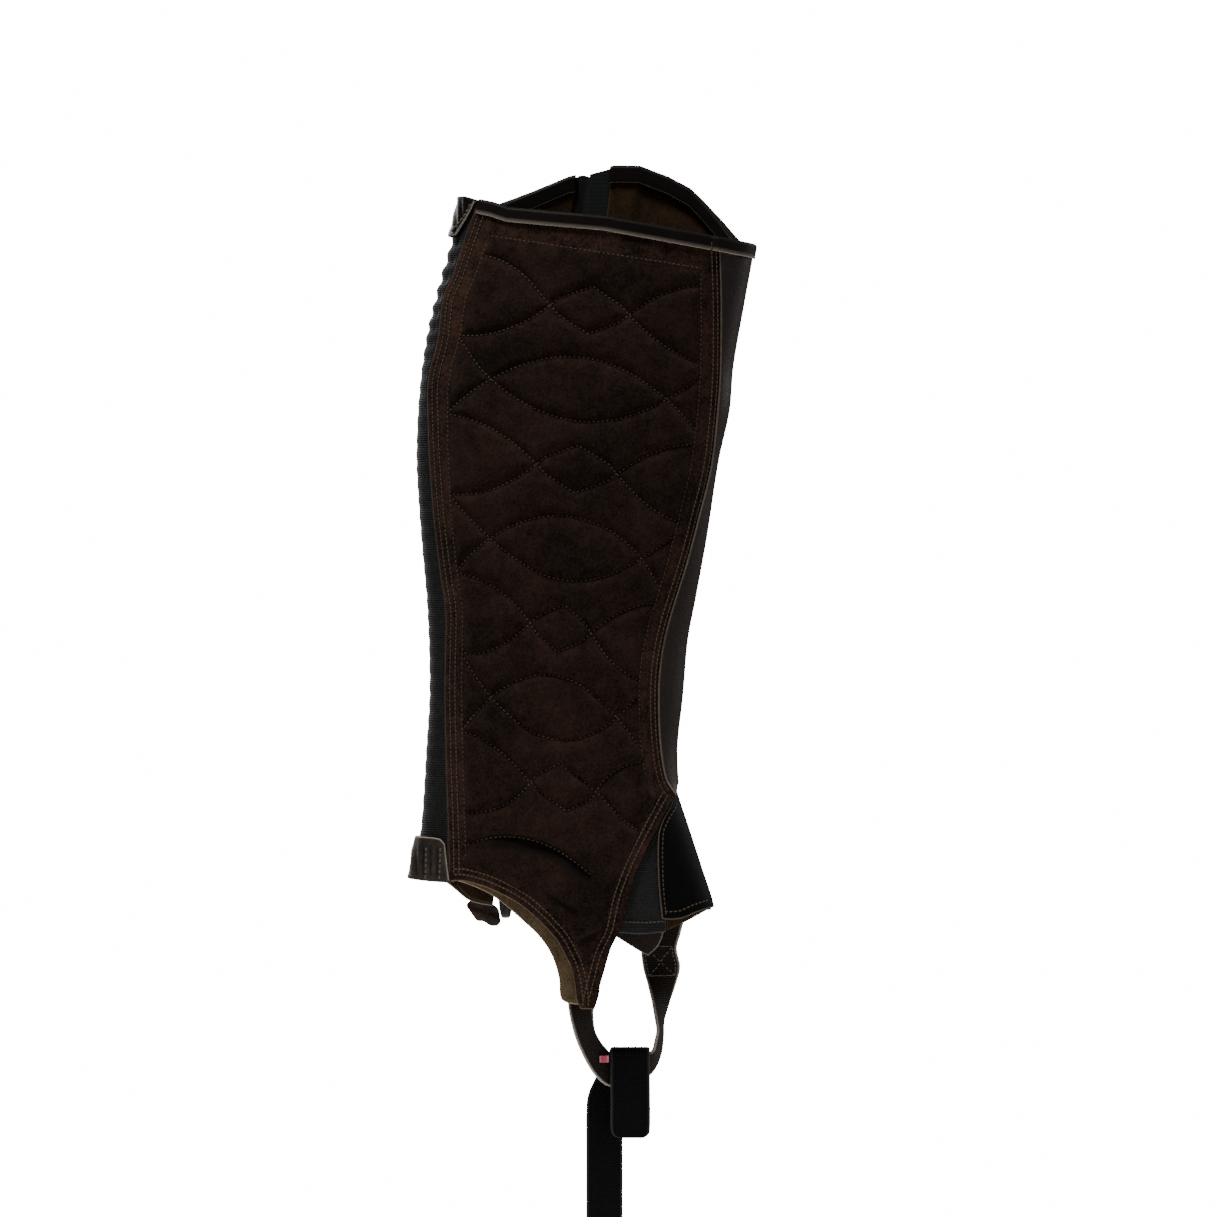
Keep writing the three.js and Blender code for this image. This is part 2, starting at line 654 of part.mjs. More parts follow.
// Vamp over the instep, tucked under the shell's curved edge.
const vampUpper = [
  spot(0.0329, 0.9178),
  spot(0.0329, 0.8619),
  spot(0.0389, 0.819),
  spot(0.0508, 0.7995),
  spot(0.0687, 0.7852),
  spot(0.1016, 0.7709),
  spot(0.1375, 0.7579),
  spot(0.1793, 0.7462),
  spot(0.2241, 0.7384),
  spot(0.3586, 0.7345),
];
const vamp = mainBody(cut(layer(0, -VAMP_THICKNESS), [
  spot(0.1853, 0.9263),
  spot(0.1748, 0.8762),
  spot(0.1748, 0.8164),
  spot(0.2176, 0.7754),
  spot(0.2286, 0.767),
  spot(0.2316, 0.7436),
  spot(0.3586, 0.7345),
  [FAR, spot(0.3586, 0.7345)[1]],
  [FAR, spot(0.4782, 0.91)[1]],
  spot(0.3407, 0.912),
  spot(0.2899, 0.9178),
  spot(0.2451, 0.9256),
  spot(0.2152, 0.9269),
], [
  ...vampUpper,
  [FAR, vampUpper[9][1]],
  [FAR, spot(0.4782, 0.91)[1]],
  spot(0.3407, 0.912),
  spot(0.2989, 0.9152),
  spot(0.1793, 0.9178),
  spot(0.0628, 0.9191),
]));

// Lining behind the shell and the vamp.
const shellLiningLayer = layer(
  (angle, down) => -liningDrop(angle, down),
  (angle, down) => -liningDrop(angle, down) - LINING_THICKNESS,
).intersect(bodyRegion);
const liningZipEdge = zipLine(SHELL_EDGE_TOP + 1, SHELL_EDGE_FOOT + 1, high, spot(-0.254, 0.923)[1]);
const shellLining = mainBody(cut(shellLiningLayer, [
  [panelFront[0][0] + GAP + 0.2, high],
  ...shifted(panelFront, GAP + 0.2, 0),
  spot(0.2241, 0.7696),
  spot(0.2241, 0.7891),
  spot(0.2017, 0.819),
  spot(0.2017, 0.9412),
  spot(0.26, 0.9302),
  spot(0.3407, 0.91),
  [FAR, spot(0.4782, 0.9087)[1]],
  [FAR, high],
], [
  ...liningZipEdge,
  spot(-0.1195, 0.9334),
  spot(0, 0.9438),
  spot(0.0508, 0.949),
  spot(0.1195, 0.9191),
  spot(0.1793, 0.9152),
  spot(0.2989, 0.9126),
  spot(0.3407, 0.91),
  [FAR, spot(0.4782, 0.9087)[1]],
  [FAR, high],
]));

// Stretch gusset round the rear fold.
const elasticLayer = layer(-ELASTIC_DEPTH, -ELASTIC_DEPTH - ELASTIC_THICKNESS).intersect(bodyRegion);
const elasticGusset = mainBody(cut(elasticLayer, [
  [-FAR, high],
  [panelRear[0][0] - GAP, high],
  ...shifted(panelRear.slice(0, -1), -GAP, 0),
  spot(-0.4572, 0.8697),
  spot(-0.4782, 0.8671),
  [-FAR, spot(-0.5648, 0.8671)[1]],
], [
  [-FAR, high],
  [farElasticEdge[0][0], high],
  ...farElasticEdge.slice(0, 14),
  spot(-0.4423, 0.8827),
  spot(-0.4752, 0.8775),
  spot(-0.5618, 0.8671),
  [-FAR, spot(-0.5648, 0.8671)[1]],
]));

// Elastic gore between the panel and the vamp.
const gore = mainBody(cut(layer(-1.7, -1.7 - ELASTIC_THICKNESS), [
  spot(0.0577, 0.9445),
  spot(0.0807, 0.9009),
  spot(0.1201, 0.8567),
  spot(0.1689, 0.8151),
  spot(0.1981, 0.793),
  spot(0.1981, 0.9217),
  spot(0.1981, 0.9438),
  spot(0.1195, 0.9464),
], null));

// Leather facing between the elastic and the zip, with its own lining.
const facingRear = farElasticEdge.map(([x, z]) => [x - LAP, z]).slice(0, 14);
const facingZipEdge = zipLine(FACING_EDGE, FACING_EDGE, spot(-0.2989, 0.9139)[1], high);
const facingHem = [
  spot(-0.4632, 0.8814),
  spot(-0.4423, 0.8886),
  spot(-0.3945, 0.9061),
  spot(-0.3586, 0.9113),
];
const zipFacing = mainBody(cut(layer(shellTop, GAP).intersect(bodyRegion), null, [
  [facingRear[0][0], high],
  ...facingRear,
  ...facingHem,
  ...facingZipEdge,
]));
const facingLiningLayer = layer(-1.1, -1.1 - LINING_THICKNESS).intersect(bodyRegion);
const facingLining = mainBody(cut(facingLiningLayer, null, [
  [farElasticEdge[0][0] + 0.5, high],
  ...shifted(farElasticEdge.slice(0, 14), 0.5, 0),
  spot(-0.4333, 0.8866),
  spot(-0.3945, 0.9022),
  spot(-0.3586, 0.9074),
  ...zipLine(FACING_EDGE - 0.4, FACING_EDGE - 0.4, spot(-0.2989, 0.9113)[1], high),
]));

// Zip: two tapes and the closed coil between them.
const tapeLayer = layer(0, -TAPE_THICKNESS).intersect(bodyRegion);
const tapeGap = COIL_WIDTH / 2 + GAP;
const zipTapeRear = mainBody(cut(tapeLayer, null, [
  ...zipLine(-11.4, -9.4, high, COIL_END),
  ...zipLine(-tapeGap, -tapeGap, COIL_END, high),
]));
const zipTapeFront = mainBody(cut(tapeLayer, null, [
  ...zipLine(tapeGap, tapeGap, high, COIL_END),
  ...zipLine(SHELL_EDGE_FOOT + 7, SHELL_EDGE_TOP + 7, COIL_END, high),
]));
const zipCoil = mainBody(cut(layer(0.9, -1.3).intersect(bodyRegion), null, [
  ...zipLine(-COIL_WIDTH / 2, -COIL_WIDTH / 2, high, COIL_END),
  ...zipLine(COIL_WIDTH / 2, COIL_WIDTH / 2, COIL_END, high),
]));

// Leather binding folded over a top edge, one strip for the shell side and one for the facing.
function binding(innerSpan, outerSpan, over, under) {
  const strip = (width) => {
    const piece = (line, span, side) => {
      if (!span) return null;
      const edge = between(line, span[0], span[1]);
      return block([...edge, ...reversed(shifted(edge, 0, -width))], side);
    };
    const parts = [piece(innerTop, innerSpan, -1), piece(outerTop, outerSpan, 1)].filter(Boolean);
    return parts.length === 2 ? parts[0].add(parts[1]) : parts[0];
  };
  const outside = (a, d) => over(a, d) + BINDING_THICKNESS;
  const inside = (a, d) => under(a, d) - BINDING_THICKNESS;
  const outerLeg = layer(outside, over).intersect(strip(BINDING_OUTER));
  const innerLeg = layer(under, inside).intersect(strip(BINDING_INNER));
  const cap = layer(outside, inside).intersect(strip(BINDING_THICKNESS));
  return mainBody(outerLeg.add(innerLeg).add(cap));
}
const overShell = (angle, down) => {
  const onSuede = isInner(angle) && acrossAt(angle, down) < lineAt(SHELL_SEAM, down) - 13;
  return onSuede ? GAP : shellTop + GAP;
};
const underShell = (angle, down) => {
  const onSuede = isInner(angle) && acrossAt(angle, down) < lineAt(PANEL_FRONT, 0.1) + 9;
  return onSuede ? innerLiningTop - LINING_THICKNESS - GAP : -1.7 - LINING_THICKNESS - GAP;
};
const topBinding = binding(
  [spot(-0.3586, -0.2665)[0], FAR],
  [spot(0.0299, -0.2665)[0], FAR],
  overShell,
  underShell,
);
const facingBinding = binding(
  null,
  [spot(-0.3317, -0.2665)[0], spot(-0.0732, -0.2665)[0]],
  () => shellTop + GAP,
  () => -1.1 - LINING_THICKNESS - GAP,
);

// Leather tabs over the two ends of the elastic.
const tabInner = -ELASTIC_DEPTH - ELASTIC_THICKNESS - GAP;
function tab(innerOutline, outerOutline, innerCap, outerCap) {
  const leaf = cut(layer(GAP + TAB_THICKNESS, GAP), innerOutline, outerOutline);
  const cap = cut(layer(GAP + TAB_THICKNESS, tabInner - 0.8), innerCap, outerCap);
  return mainBody(leaf.add(cap));
}
const topTab = tab([
  [-FAR, spot(-0.4005, -0.012)[1]],
  spot(-0.3855, -0.012),
  spot(-0.3628, -0.007),
  spot(-0.3646, -0.0046),
  spot(-0.4259, 0.041),
  [-FAR, spot(-0.4333, 0.0423)[1]],
], [
  [-FAR, spot(-0.4005, -0.012)[1]],
  spot(-0.3855, -0.0114),
  spot(-0.3362, -0.0047),
  spot(-0.3497, 0.0195),
  spot(-0.3885, 0.0429),
  [-FAR, spot(-0.4333, 0.0423)[1]],
], [
  [-FAR, spot(-0.4005, -0.012)[1]],
  spot(-0.3855, -0.012),
  spot(-0.3628, -0.007),
  spot(-0.3646, -0.0055),
  spot(-0.3855, -0.0082),
  spot(-0.4005, -0.0094),
  [-FAR, spot(-0.4005, -0.0094)[1]],
], [
  [-FAR, spot(-0.4005, -0.012)[1]],
  spot(-0.3855, -0.0114),
  spot(-0.3362, -0.0047),
  spot(-0.3377, -0.0026),
  spot(-0.3646, -0.0052),
  spot(-0.4005, -0.0094),
  [-FAR, spot(-0.4005, -0.0094)[1]],
]);
const footTab = tab([
  [-FAR, spot(-1.7931, 0.8203)[1]],
  spot(-0.5409, 0.8203),
  spot(-0.4758, 0.8226),
  spot(-0.459, 0.8293),
  spot(-0.4528, 0.8541),
  spot(-0.4453, 0.8796),
  spot(-0.508, 0.8781),
  spot(-0.5648, 0.8757),
  [-FAR, spot(-1.7931, 0.8757)[1]],
], [
  [-FAR, spot(-1.7931, 0.8203)[1]],
  spot(-0.508, 0.8216),
  spot(-0.4692, 0.8294),
  spot(-0.4677, 0.8801),
  spot(-0.508, 0.8781),
  spot(-0.5648, 0.8757),
  [-FAR, spot(-1.7931, 0.8757)[1]],
], [
  [-FAR, spot(-1.7931, 0.8726)[1]],
  spot(-0.5648, 0.8726),
  spot(-0.4543, 0.8762),
  spot(-0.4453, 0.8796),
  spot(-0.508, 0.8781),
  spot(-0.5648, 0.8757),
  [-FAR, spot(-1.7931, 0.8757)[1]],
], [
  [-FAR, spot(-1.7931, 0.8726)[1]],
  spot(-0.5648, 0.8726),
  spot(-0.508, 0.8757),
  spot(-0.508, 0.8781),
  spot(-0.5648, 0.8757),
  [-FAR, spot(-1.7931, 0.8757)[1]],
]);

// Leather tongue inside the outer side, over the upper end of the foot strap.
const anchorTongue = mainBody(cut(layer(-5.8, -5.8 - SHELL_THICKNESS), null, [
  spot(0.0209, 0.9035),
  spot(0.0329, 0.9503),
  spot(0.0508, 0.9536),
  spot(0.1255, 0.9724),
  spot(0.1524, 0.9783),
  spot(0.1853, 0.9646),
  spot(0.2032, 0.9425),
  spot(0.2032, 0.9035),
]));

// Flat strap through stations, each with the place of its two edges; it keeps its thickness.
function ribbon(stations, thickness, steps) {
  const edgeA = new THREE.CatmullRomCurve3(stations.map((s) => s.a));
  const edgeB = new THREE.CatmullRomCurve3(stations.map((s) => s.b));
  const points = [];
  const triangles = [];
  const at = (t) => [edgeA.getPoint(t), edgeB.getPoint(t)];
  for (let i = 0; i <= steps; i += 1) {
    const t = i / steps;
    const [a, b] = at(t);
    const [a0, b0] = at(Math.max(t - 0.01, 0));
    const [a1, b1] = at(Math.min(t + 0.01, 1));
    const along = a1.add(b1).sub(a0).sub(b0);
    const normal = along.cross(b.clone().sub(a)).normalize().multiplyScalar(thickness / 2);
    points.push(a.clone().add(normal), b.clone().add(normal));
    points.push(b.clone().sub(normal), a.clone().sub(normal));
  }
  for (let i = 0; i < steps; i += 1) {
    for (let k = 0; k < 4; k += 1) {
      const p = i * 4 + k;
      const q = i * 4 + ((k + 1) % 4);
      triangles.push([p, q, q + 4], [p, q + 4, p + 4]);
    }
  }
  const end = steps * 4;
  triangles.push([0, 2, 1], [0, 3, 2], [end, end + 1, end + 2], [end, end + 2, end + 3]);
  return solid(points, triangles);
}

// Foot strap, from the suede point under the foot to the outer side. Each station gives the
// strap's outer edge (a) and the edge beside the opening (b), with their depths in LEG_DEPTH.
const FOOT_STRAP = [
  {
    aAcross: -0.0956, aDown: 1.0153, aDepth: -0.1412,
    bAcross: -0.0239, bDown: 1.0153, bDepth: -0.1456,
  },
  {
    aAcross: -0.0956, aDown: 1.0374, aDepth: -0.15,
    bAcross: -0.0179, bDown: 1.0348, bDepth: -0.1382,
  },
  {
    aAcross: -0.0867, aDown: 1.0595, aDepth: -0.1838,
    bAcross: -0.0194, bDown: 1.0517, bDepth: -0.1176,
  },
  {
    aAcross: -0.0687, aDown: 1.0855, aDepth: -0.1985,
    bAcross: -0.0149, bDown: 1.0725, bDepth: -0.0588,
  },
  {
    aAcross: -0.0389, aDown: 1.1141, aDepth: -0.1471,
    bAcross: 0.003, bDown: 1.0881, bDepth: -0.0221,
  },
  {
    aAcross: -0.009, aDown: 1.1336, aDepth: -0.0735,
    bAcross: 0.0164, bDown: 1.0953, bDepth: -0.0044,
  },
  {
    aAcross: 0.0254, aDown: 1.1453, aDepth: -0.0147,
    bAcross: 0.0344, bDown: 1.1021, bDepth: 0,
  },
  {
    aAcross: 0.0777, aDown: 1.1479, aDepth: 0.0029,
    bAcross: 0.0837, bDown: 1.1031, bDepth: 0.0059,
  },
  {
    aAcross: 0.1225, aDown: 1.1414, aDepth: 0.0118,
    bAcross: 0.1285, bDown: 1.1031, bDepth: 0.0059,
  },
  {
    aAcross: 0.1614, aDown: 1.1258, aDepth: 0.1103,
    bAcross: 0.1569, bDown: 1.0985, bDepth: 0.0147,
  },
  {
    aAcross: 0.1823, aDown: 1.105, aDepth: 0.2206,
    bAcross: 0.1659, bDown: 1.0855, bDepth: 0.0221,
  },
  {
    aAcross: 0.1883, aDown: 1.0829, aDepth: 0.2647,
    bAcross: 0.1718, bDown: 1.0725, bDepth: 0.0368,
  },
  {
    aAcross: 0.1913, aDown: 1.0621, aDepth: 0.2794,
    bAcross: 0.1674, bDown: 1.0608, bDepth: 0.0662,
  },
  {
    aAcross: 0.2092, aDown: 1.0387, aDepth: 0.2824,
    bAcross: 0.1569, bDown: 1.04, bDepth: 0.1324,
  },
  {
    aAcross: 0.2301, aDown: 1.0127, aDepth: 0.2794,
    bAcross: 0.142, bDown: 1.014, bDepth: 0.2353,
  },
  {
    aAcross: 0.2406, aDown: 0.9919, aDepth: 0.2765,
    bAcross: 0.1285, bDown: 0.9932, bDepth: 0.3132,
  },
];
const strapPoint = (across, down, depth) => (
  new THREE.Vector3(across * LEG_WIDTH, depth * LEG_DEPTH, -down * LEG_HEIGHT)
);
const onOuterSide = ([x, z], offset) => legPlace(x, -z / LEG_HEIGHT, 1, offset);
const footStrap = ribbon([
  ...FOOT_STRAP.map((s) => ({
    a: strapPoint(s.aAcross, s.aDown, s.aDepth),
    b: strapPoint(s.bAcross, s.bDown, s.bDepth),
  })),
  { a: onOuterSide(spot(0.2391, 0.9685), -4.1), b: onOuterSide(spot(0.1285, 0.9685), -4.1) },
  { a: onOuterSide(spot(0.251, 0.949), -4.1), b: onOuterSide(spot(0.1464, 0.949), -4.1) },
  { a: onOuterSide(spot(0.263, 0.9295), -4.1), b: onOuterSide(spot(0.1524, 0.9295), -4.1) },
  { a: onOuterSide(spot(0.269, 0.9074), -4.1), b: onOuterSide(spot(0.1584, 0.9074), -4.1) },
], STRAP_THICKNESS, 38);

// Adjuster strap, folded over the foot strap: a short tab in front and a long tail behind.
const ADJUSTER = [
  { across: 0.0926, down: 1.2123, depth: -0.0544, width: 0.62 },
  { across: 0.0914, down: 1.2077, depth: -0.0544, width: 0.9 },
  { across: 0.0909, down: 1.1973, depth: -0.0544, width: 1 },
  { across: 0.0906, down: 1.1635, depth: -0.0544, width: 1 },
  { across: 0.0903, down: 1.131, depth: -0.0529, width: 1 },
  { across: 0.09, down: 1.1089, depth: -0.0529, width: 1 },
  { across: 0.0897, down: 1.1004, depth: -0.0471, width: 1 },
  { across: 0.0897, down: 1.0971, depth: -0.0221, width: 1 },
  { across: 0.0897, down: 1.0967, depth: 0.0074, width: 1 },
  { across: 0.0897, down: 1.0971, depth: 0.0368, width: 1 },
  { across: 0.0867, down: 1.1004, depth: 0.0618, width: 1 },
  { across: 0.0777, down: 1.1089, depth: 0.0676, width: 1 },
  { across: 0.0508, down: 1.131, depth: 0.0706, width: 1 },
  { across: 0.0209, down: 1.157, depth: 0.0706, width: 0.95 },
  { across: 0.0134, down: 1.183, depth: 0.0706, width: 0.92 },
  { across: 0.0134, down: 1.2285, depth: 0.0706, width: 0.92 },
  { across: 0.0134, down: 1.2805, depth: 0.0706, width: 0.92 },
  { across: 0.0134, down: 1.3221, depth: 0.0706, width: 0.92 },
];
const adjusterStrap = ribbon(ADJUSTER.map((s) => ({
  a: strapPoint(s.across - (s.width * ADJUSTER_WIDTH) / (2 * LEG_WIDTH), s.down, s.depth),
  b: strapPoint(s.across + (s.width * ADJUSTER_WIDTH) / (2 * LEG_WIDTH), s.down, s.depth),
})), ADJUSTER_THICKNESS, 26);

// Small plain label at the side of the adjuster.
const labelBox = new THREE.BoxGeometry(4.9, 0.7, 3.6);
labelBox.translate(spot(0.0123, -0.2665)[0], -5.1, spot(0.012, 1.1096)[1]);
const sideLabel = solidOfGeometry(labelBox);

// Zip slider and its leather pull, at the foot of the zip.
const sliderSpot = spot(-0.2839, 0.9139);
const sliderAngle = legAngle(sliderSpot[0], -sliderSpot[1] / LEG_HEIGHT, 1);
const sliderNormal = legNormal(sliderAngle, -sliderSpot[1] / LEG_HEIGHT).setZ(0).normalize();
function besideZip(geometry, offset) {
  const basis = new THREE.Matrix4().makeBasis(
    new THREE.Vector3(sliderNormal.y, -sliderNormal.x, 0),
    new THREE.Vector3(0, 0, 1),
    new THREE.Vector3(-sliderNormal.x, -sliderNormal.y, 0),
  );
  const place = legPoint(sliderAngle, -sliderSpot[1] / LEG_HEIGHT);
  place.addScaledVector(sliderNormal, offset);
  basis.setPosition(place);
  return solidOfGeometry(geometry.applyMatrix4(basis));
}
const sliderShape = new THREE.Shape([
  new THREE.Vector2(-3.9, 6.6),
  new THREE.Vector2(3.9, 6.6),
  new THREE.Vector2(3.4, -1),
  new THREE.Vector2(2.2, -6.4),
  new THREE.Vector2(-2.2, -6.4),
  new THREE.Vector2(-3.4, -1),
]);
const sliderBody = new THREE.ExtrudeGeometry(sliderShape, { depth: 3.4, bevelEnabled: false });
const zipSlider = besideZip(sliderBody, 1.8);
const PULL_OUTLINE = [
  spot(-0.4049, 0.9126),
  spot(-0.384, 0.9048),
  spot(-0.3556, 0.91),
  spot(-0.3317, 0.9074),
  spot(-0.3018, 0.9178),
  spot(-0.2959, 0.9373),
  spot(-0.3078, 0.9412),
  spot(-0.3293, 0.9407),
  spot(-0.3526, 0.9334),
  spot(-0.3676, 0.9354),
];
const pullShape = new THREE.Shape(PULL_OUTLINE.map(([x, z]) => (
  new THREE.Vector2(x - sliderSpot[0], z - sliderSpot[1]))));
const pullBody = new THREE.ExtrudeGeometry(pullShape, { depth: 4, bevelEnabled: false });
const zipPull = besideZip(pullBody, 6.2);

// Mesh of one piece, flat shaded on its true facets.
function pieceMesh(name, shape, color, roughness, metalness = 0) {
  const { vertProperties, triVerts } = shape.getMesh();
  const geometry = new THREE.BufferGeometry();
  geometry.setAttribute('position', new THREE.BufferAttribute(new Float32Array(vertProperties), 3));
  geometry.setIndex(new THREE.BufferAttribute(new Uint32Array(triVerts), 1));
  geometry.computeVertexNormals();
  const material = new THREE.MeshStandardMaterial({ color, roughness, metalness });
  const mesh = new THREE.Mesh(geometry, material);
  mesh.name = name;
  return mesh;
}

const halfChap = new THREE.Group();
halfChap.add(pieceMesh('quilted_panel', quiltedPanel, 0x2b1c17, 0.95));
halfChap.add(pieceMesh('panel_lining', innerLining, 0x4a4026, 0.95));
halfChap.add(pieceMesh('outer_shell', outerShell, 0x17110e, 0.5));
halfChap.add(pieceMesh('vamp', vamp, 0x15100d, 0.5));
halfChap.add(pieceMesh('shell_lining', shellLining, 0x4a2f1a, 0.95));
halfChap.add(pieceMesh('elastic_gusset', elasticGusset, 0x0c0c0d, 0.85));
halfChap.add(pieceMesh('ankle_gore', gore, 0x0c0c0d, 0.85));
halfChap.add(pieceMesh('zip_facing', zipFacing, 0x17110e, 0.6));
halfChap.add(pieceMesh('facing_lining', facingLining, 0x4a2f1a, 0.95));
halfChap.add(pieceMesh('zip_tape_rear', zipTapeRear, 0x1a1c1f, 0.9));
halfChap.add(pieceMesh('zip_tape_front', zipTapeFront, 0x1a1c1f, 0.9));
halfChap.add(pieceMesh('zip_coil', zipCoil, 0x101010, 0.6));
halfChap.add(pieceMesh('zip_slider', zipSlider, 0x55565a, 0.35, 1));
halfChap.add(pieceMesh('zip_pull', zipPull, 0x2a1c15, 0.7));
halfChap.add(pieceMesh('top_binding', topBinding, 0x1c130f, 0.55));
halfChap.add(pieceMesh('facing_binding', facingBinding, 0x1c130f, 0.55));
halfChap.add(pieceMesh('top_tab', topTab, 0x2c211a, 0.7));
halfChap.add(pieceMesh('foot_tab', footTab, 0x2c211a, 0.7));
halfChap.add(pieceMesh('anchor_tongue', anchorTongue, 0x15100d, 0.55));
halfChap.add(pieceMesh('foot_strap', footStrap, 0x1f1611, 0.85));
halfChap.add(pieceMesh('adjuster_strap', adjusterStrap, 0x0b0b0c, 0.8));
halfChap.add(pieceMesh('side_label', sideLabel, 0xa01828, 0.8));

export default halfChap;
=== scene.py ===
import bpy
import numpy as np
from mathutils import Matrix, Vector


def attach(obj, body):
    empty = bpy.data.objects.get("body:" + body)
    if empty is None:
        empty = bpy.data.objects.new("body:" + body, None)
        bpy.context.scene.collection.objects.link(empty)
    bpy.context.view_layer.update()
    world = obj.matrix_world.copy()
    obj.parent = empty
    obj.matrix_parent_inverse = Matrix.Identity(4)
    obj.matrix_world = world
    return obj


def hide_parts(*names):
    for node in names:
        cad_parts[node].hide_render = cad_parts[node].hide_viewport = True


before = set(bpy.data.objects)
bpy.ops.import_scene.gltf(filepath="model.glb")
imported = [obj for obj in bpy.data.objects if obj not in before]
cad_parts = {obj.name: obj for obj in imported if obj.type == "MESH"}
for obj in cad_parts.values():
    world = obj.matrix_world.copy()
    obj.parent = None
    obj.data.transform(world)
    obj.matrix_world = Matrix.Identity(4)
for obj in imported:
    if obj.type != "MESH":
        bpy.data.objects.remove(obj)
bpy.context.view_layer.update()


# Quilted suede panel: napped split leather over thin foam, sewn through in diamonds and lenses,
# with a flat margin for its seams. It covers the inner side from the top binding to the foot strap.
REAR_FOLD = [
    (-23.4, -69.2), (-2.6, -72.8), (18.2, -78), (39, -84.2), (65, -90.5), (96.2, -94.6),
    (127.4, -96.2), (144.6, -95.7), (174.2, -93.6), (210.6, -90.5), (252.2, -89.4), (280.8, -91),
    (315.6, -93.1), (327.6, -94.4), (345.8, -98), (364, -98.3), (392.6, -94.6), (421.2, -88.4),
]  # distance down from the top opening, place across the leg
SHIN_FOLD = [
    (-23.4, 79.8), (-2.6, 79.8), (18.2, 79), (46.8, 74.1), (82.7, 67.9), (106.6, 65.8),
    (132.6, 60.1), (174.7, 53.6), (204.4, 48.1), (226.2, 43.9), (255.8, 41.3), (280.8, 38.7),
    (300.6, 39.3), (307.8, 41.1), (321.9, 45.8), (345.8, 53.6), (364, 59.3), (392.6, 63.4),
    (421.2, 65.5),
]
INNER_DEPTH = [
    (-23.4, 26.5), (18.2, 27.2), (65, 28.6), (127.4, 29.9), (174.2, 29.2), (226.2, 27.2),
    (280.8, 26.2), (327.6, 26.2), (364, 25.2), (392.6, 20.4), (421.2, 13.6),
]
OUTER_DEPTH = [
    (-23.4, 31.3), (18.2, 33.3), (65, 36.7), (127.4, 38.1), (174.2, 36), (226.2, 32.6),
    (280.8, 30.6), (327.6, 30.6), (364, 30.6), (392.6, 29.9), (421.2, 28.6),
]
OUTER_ROUND, INNER_ROUND = 2.25, 2.5  # exponents of the leg's section; 2 is an ellipse


def through(rows, at):
    """Cubic Hermite curve through rows of (place, value): each row's slope is the one between its
    two neighbours, and past the ends the value stays."""
    x, v = np.asarray(rows, float).T
    slope = np.empty_like(v)
    slope[1:-1] = (v[2:] - v[:-2]) / (x[2:] - x[:-2])
    slope[0], slope[-1] = (v[1] - v[0]) / (x[1] - x[0]), (v[-1] - v[-2]) / (x[-1] - x[-2])
    at = np.clip(at, x[0], x[-1])
    i = np.clip(np.searchsorted(x, at, side="right") - 1, 0, len(x) - 2)
    h = x[i + 1] - x[i]
    t = (at - x[i]) / h
    first = (1 + 2 * t) * (1 - t) ** 2 * v[i] + t * (1 - t) ** 2 * h * slope[i]
    return first + t**2 * (3 - 2 * t) * v[i + 1] + t**2 * (t - 1) * h * slope[i + 1]


def signed_power(value, power):
    """Power of a value's size, with its sign kept."""
    return np.sign(value) * np.abs(value) ** power


def leg(angle, down):
    """Point of the leg form: a superellipse between the rear and the shin fold at each height,
    with an exponent for each side. Angle 0 is the shin, pi / 2 the outer side, pi the rear fold,
    and the inner side is negative."""
    rear, shin = through(REAR_FOLD, down), through(SHIN_FOLD, down)
    across, deep = np.cos(angle), np.sin(angle)
    outer = deep >= 0
    x = (rear + shin) / 2 + (shin - rear) / 2 * signed_power(across, 2 / OUTER_ROUND)
    depth = np.where(outer, through(OUTER_DEPTH, down), through(INNER_DEPTH, down))
    y = depth * signed_power(deep, np.where(outer, 2 / OUTER_ROUND, 2 / INNER_ROUND))
    return np.stack([x, y, -down + 0 * x], -1)


def outward(angle, down):
    """Unit normal of the leg form: the direction round it crossed with the direction up it."""
    around = leg(angle + 1e-3, down) - leg(angle - 1e-3, down)
    normal = np.cross(around, leg(angle, down - 0.4) - leg(angle, down + 0.4))
    return normal / np.linalg.norm(normal, axis=-1, keepdims=True)


def angle_at(x, down, side):
    """Angle of the place x on the inner (-1) or outer (+1) side: the inverse of leg."""
    rear, shin = through(REAR_FOLD, down), through(SHIN_FOLD, down)
    share = np.clip((2 * x - rear - shin) / (shin - rear), -1, 1)
    return side * np.arccos(signed_power(share, OUTER_ROUND / 2))


def flow(rows, side=-1, turn=0.0, count=220):
    """Smooth line through rows of (across, down) in even steps of chord length, given back as
    (angle, down) on one side of the leg."""
    rows = np.asarray(rows, float)
    s = np.r_[0, np.cumsum(np.hypot(*np.diff(rows, axis=0).T))]
    at = np.linspace(0, s[-1], count)
    x, down = through(np.c_[s, rows[:, 0]], at), through(np.c_[s, rows[:, 1]], at)
    return np.c_[angle_at(x, down, side) + turn, down]


def length_of(line):
    """Length on the leg: the sum of the line's chords."""
    return np.linalg.norm(np.diff(leg(line[:, 0], line[:, 1]), axis=0), axis=1).sum()


def spread(line, shares):
    """Points of a line at shares of its length on the leg."""
    p = leg(line[:, 0], line[:, 1])
    s = np.r_[0, np.cumsum(np.linalg.norm(np.diff(p, axis=0), axis=1))]
    return np.stack([np.interp(shares, s / s[-1], line[:, k]) for k in (0, 1)], -1)


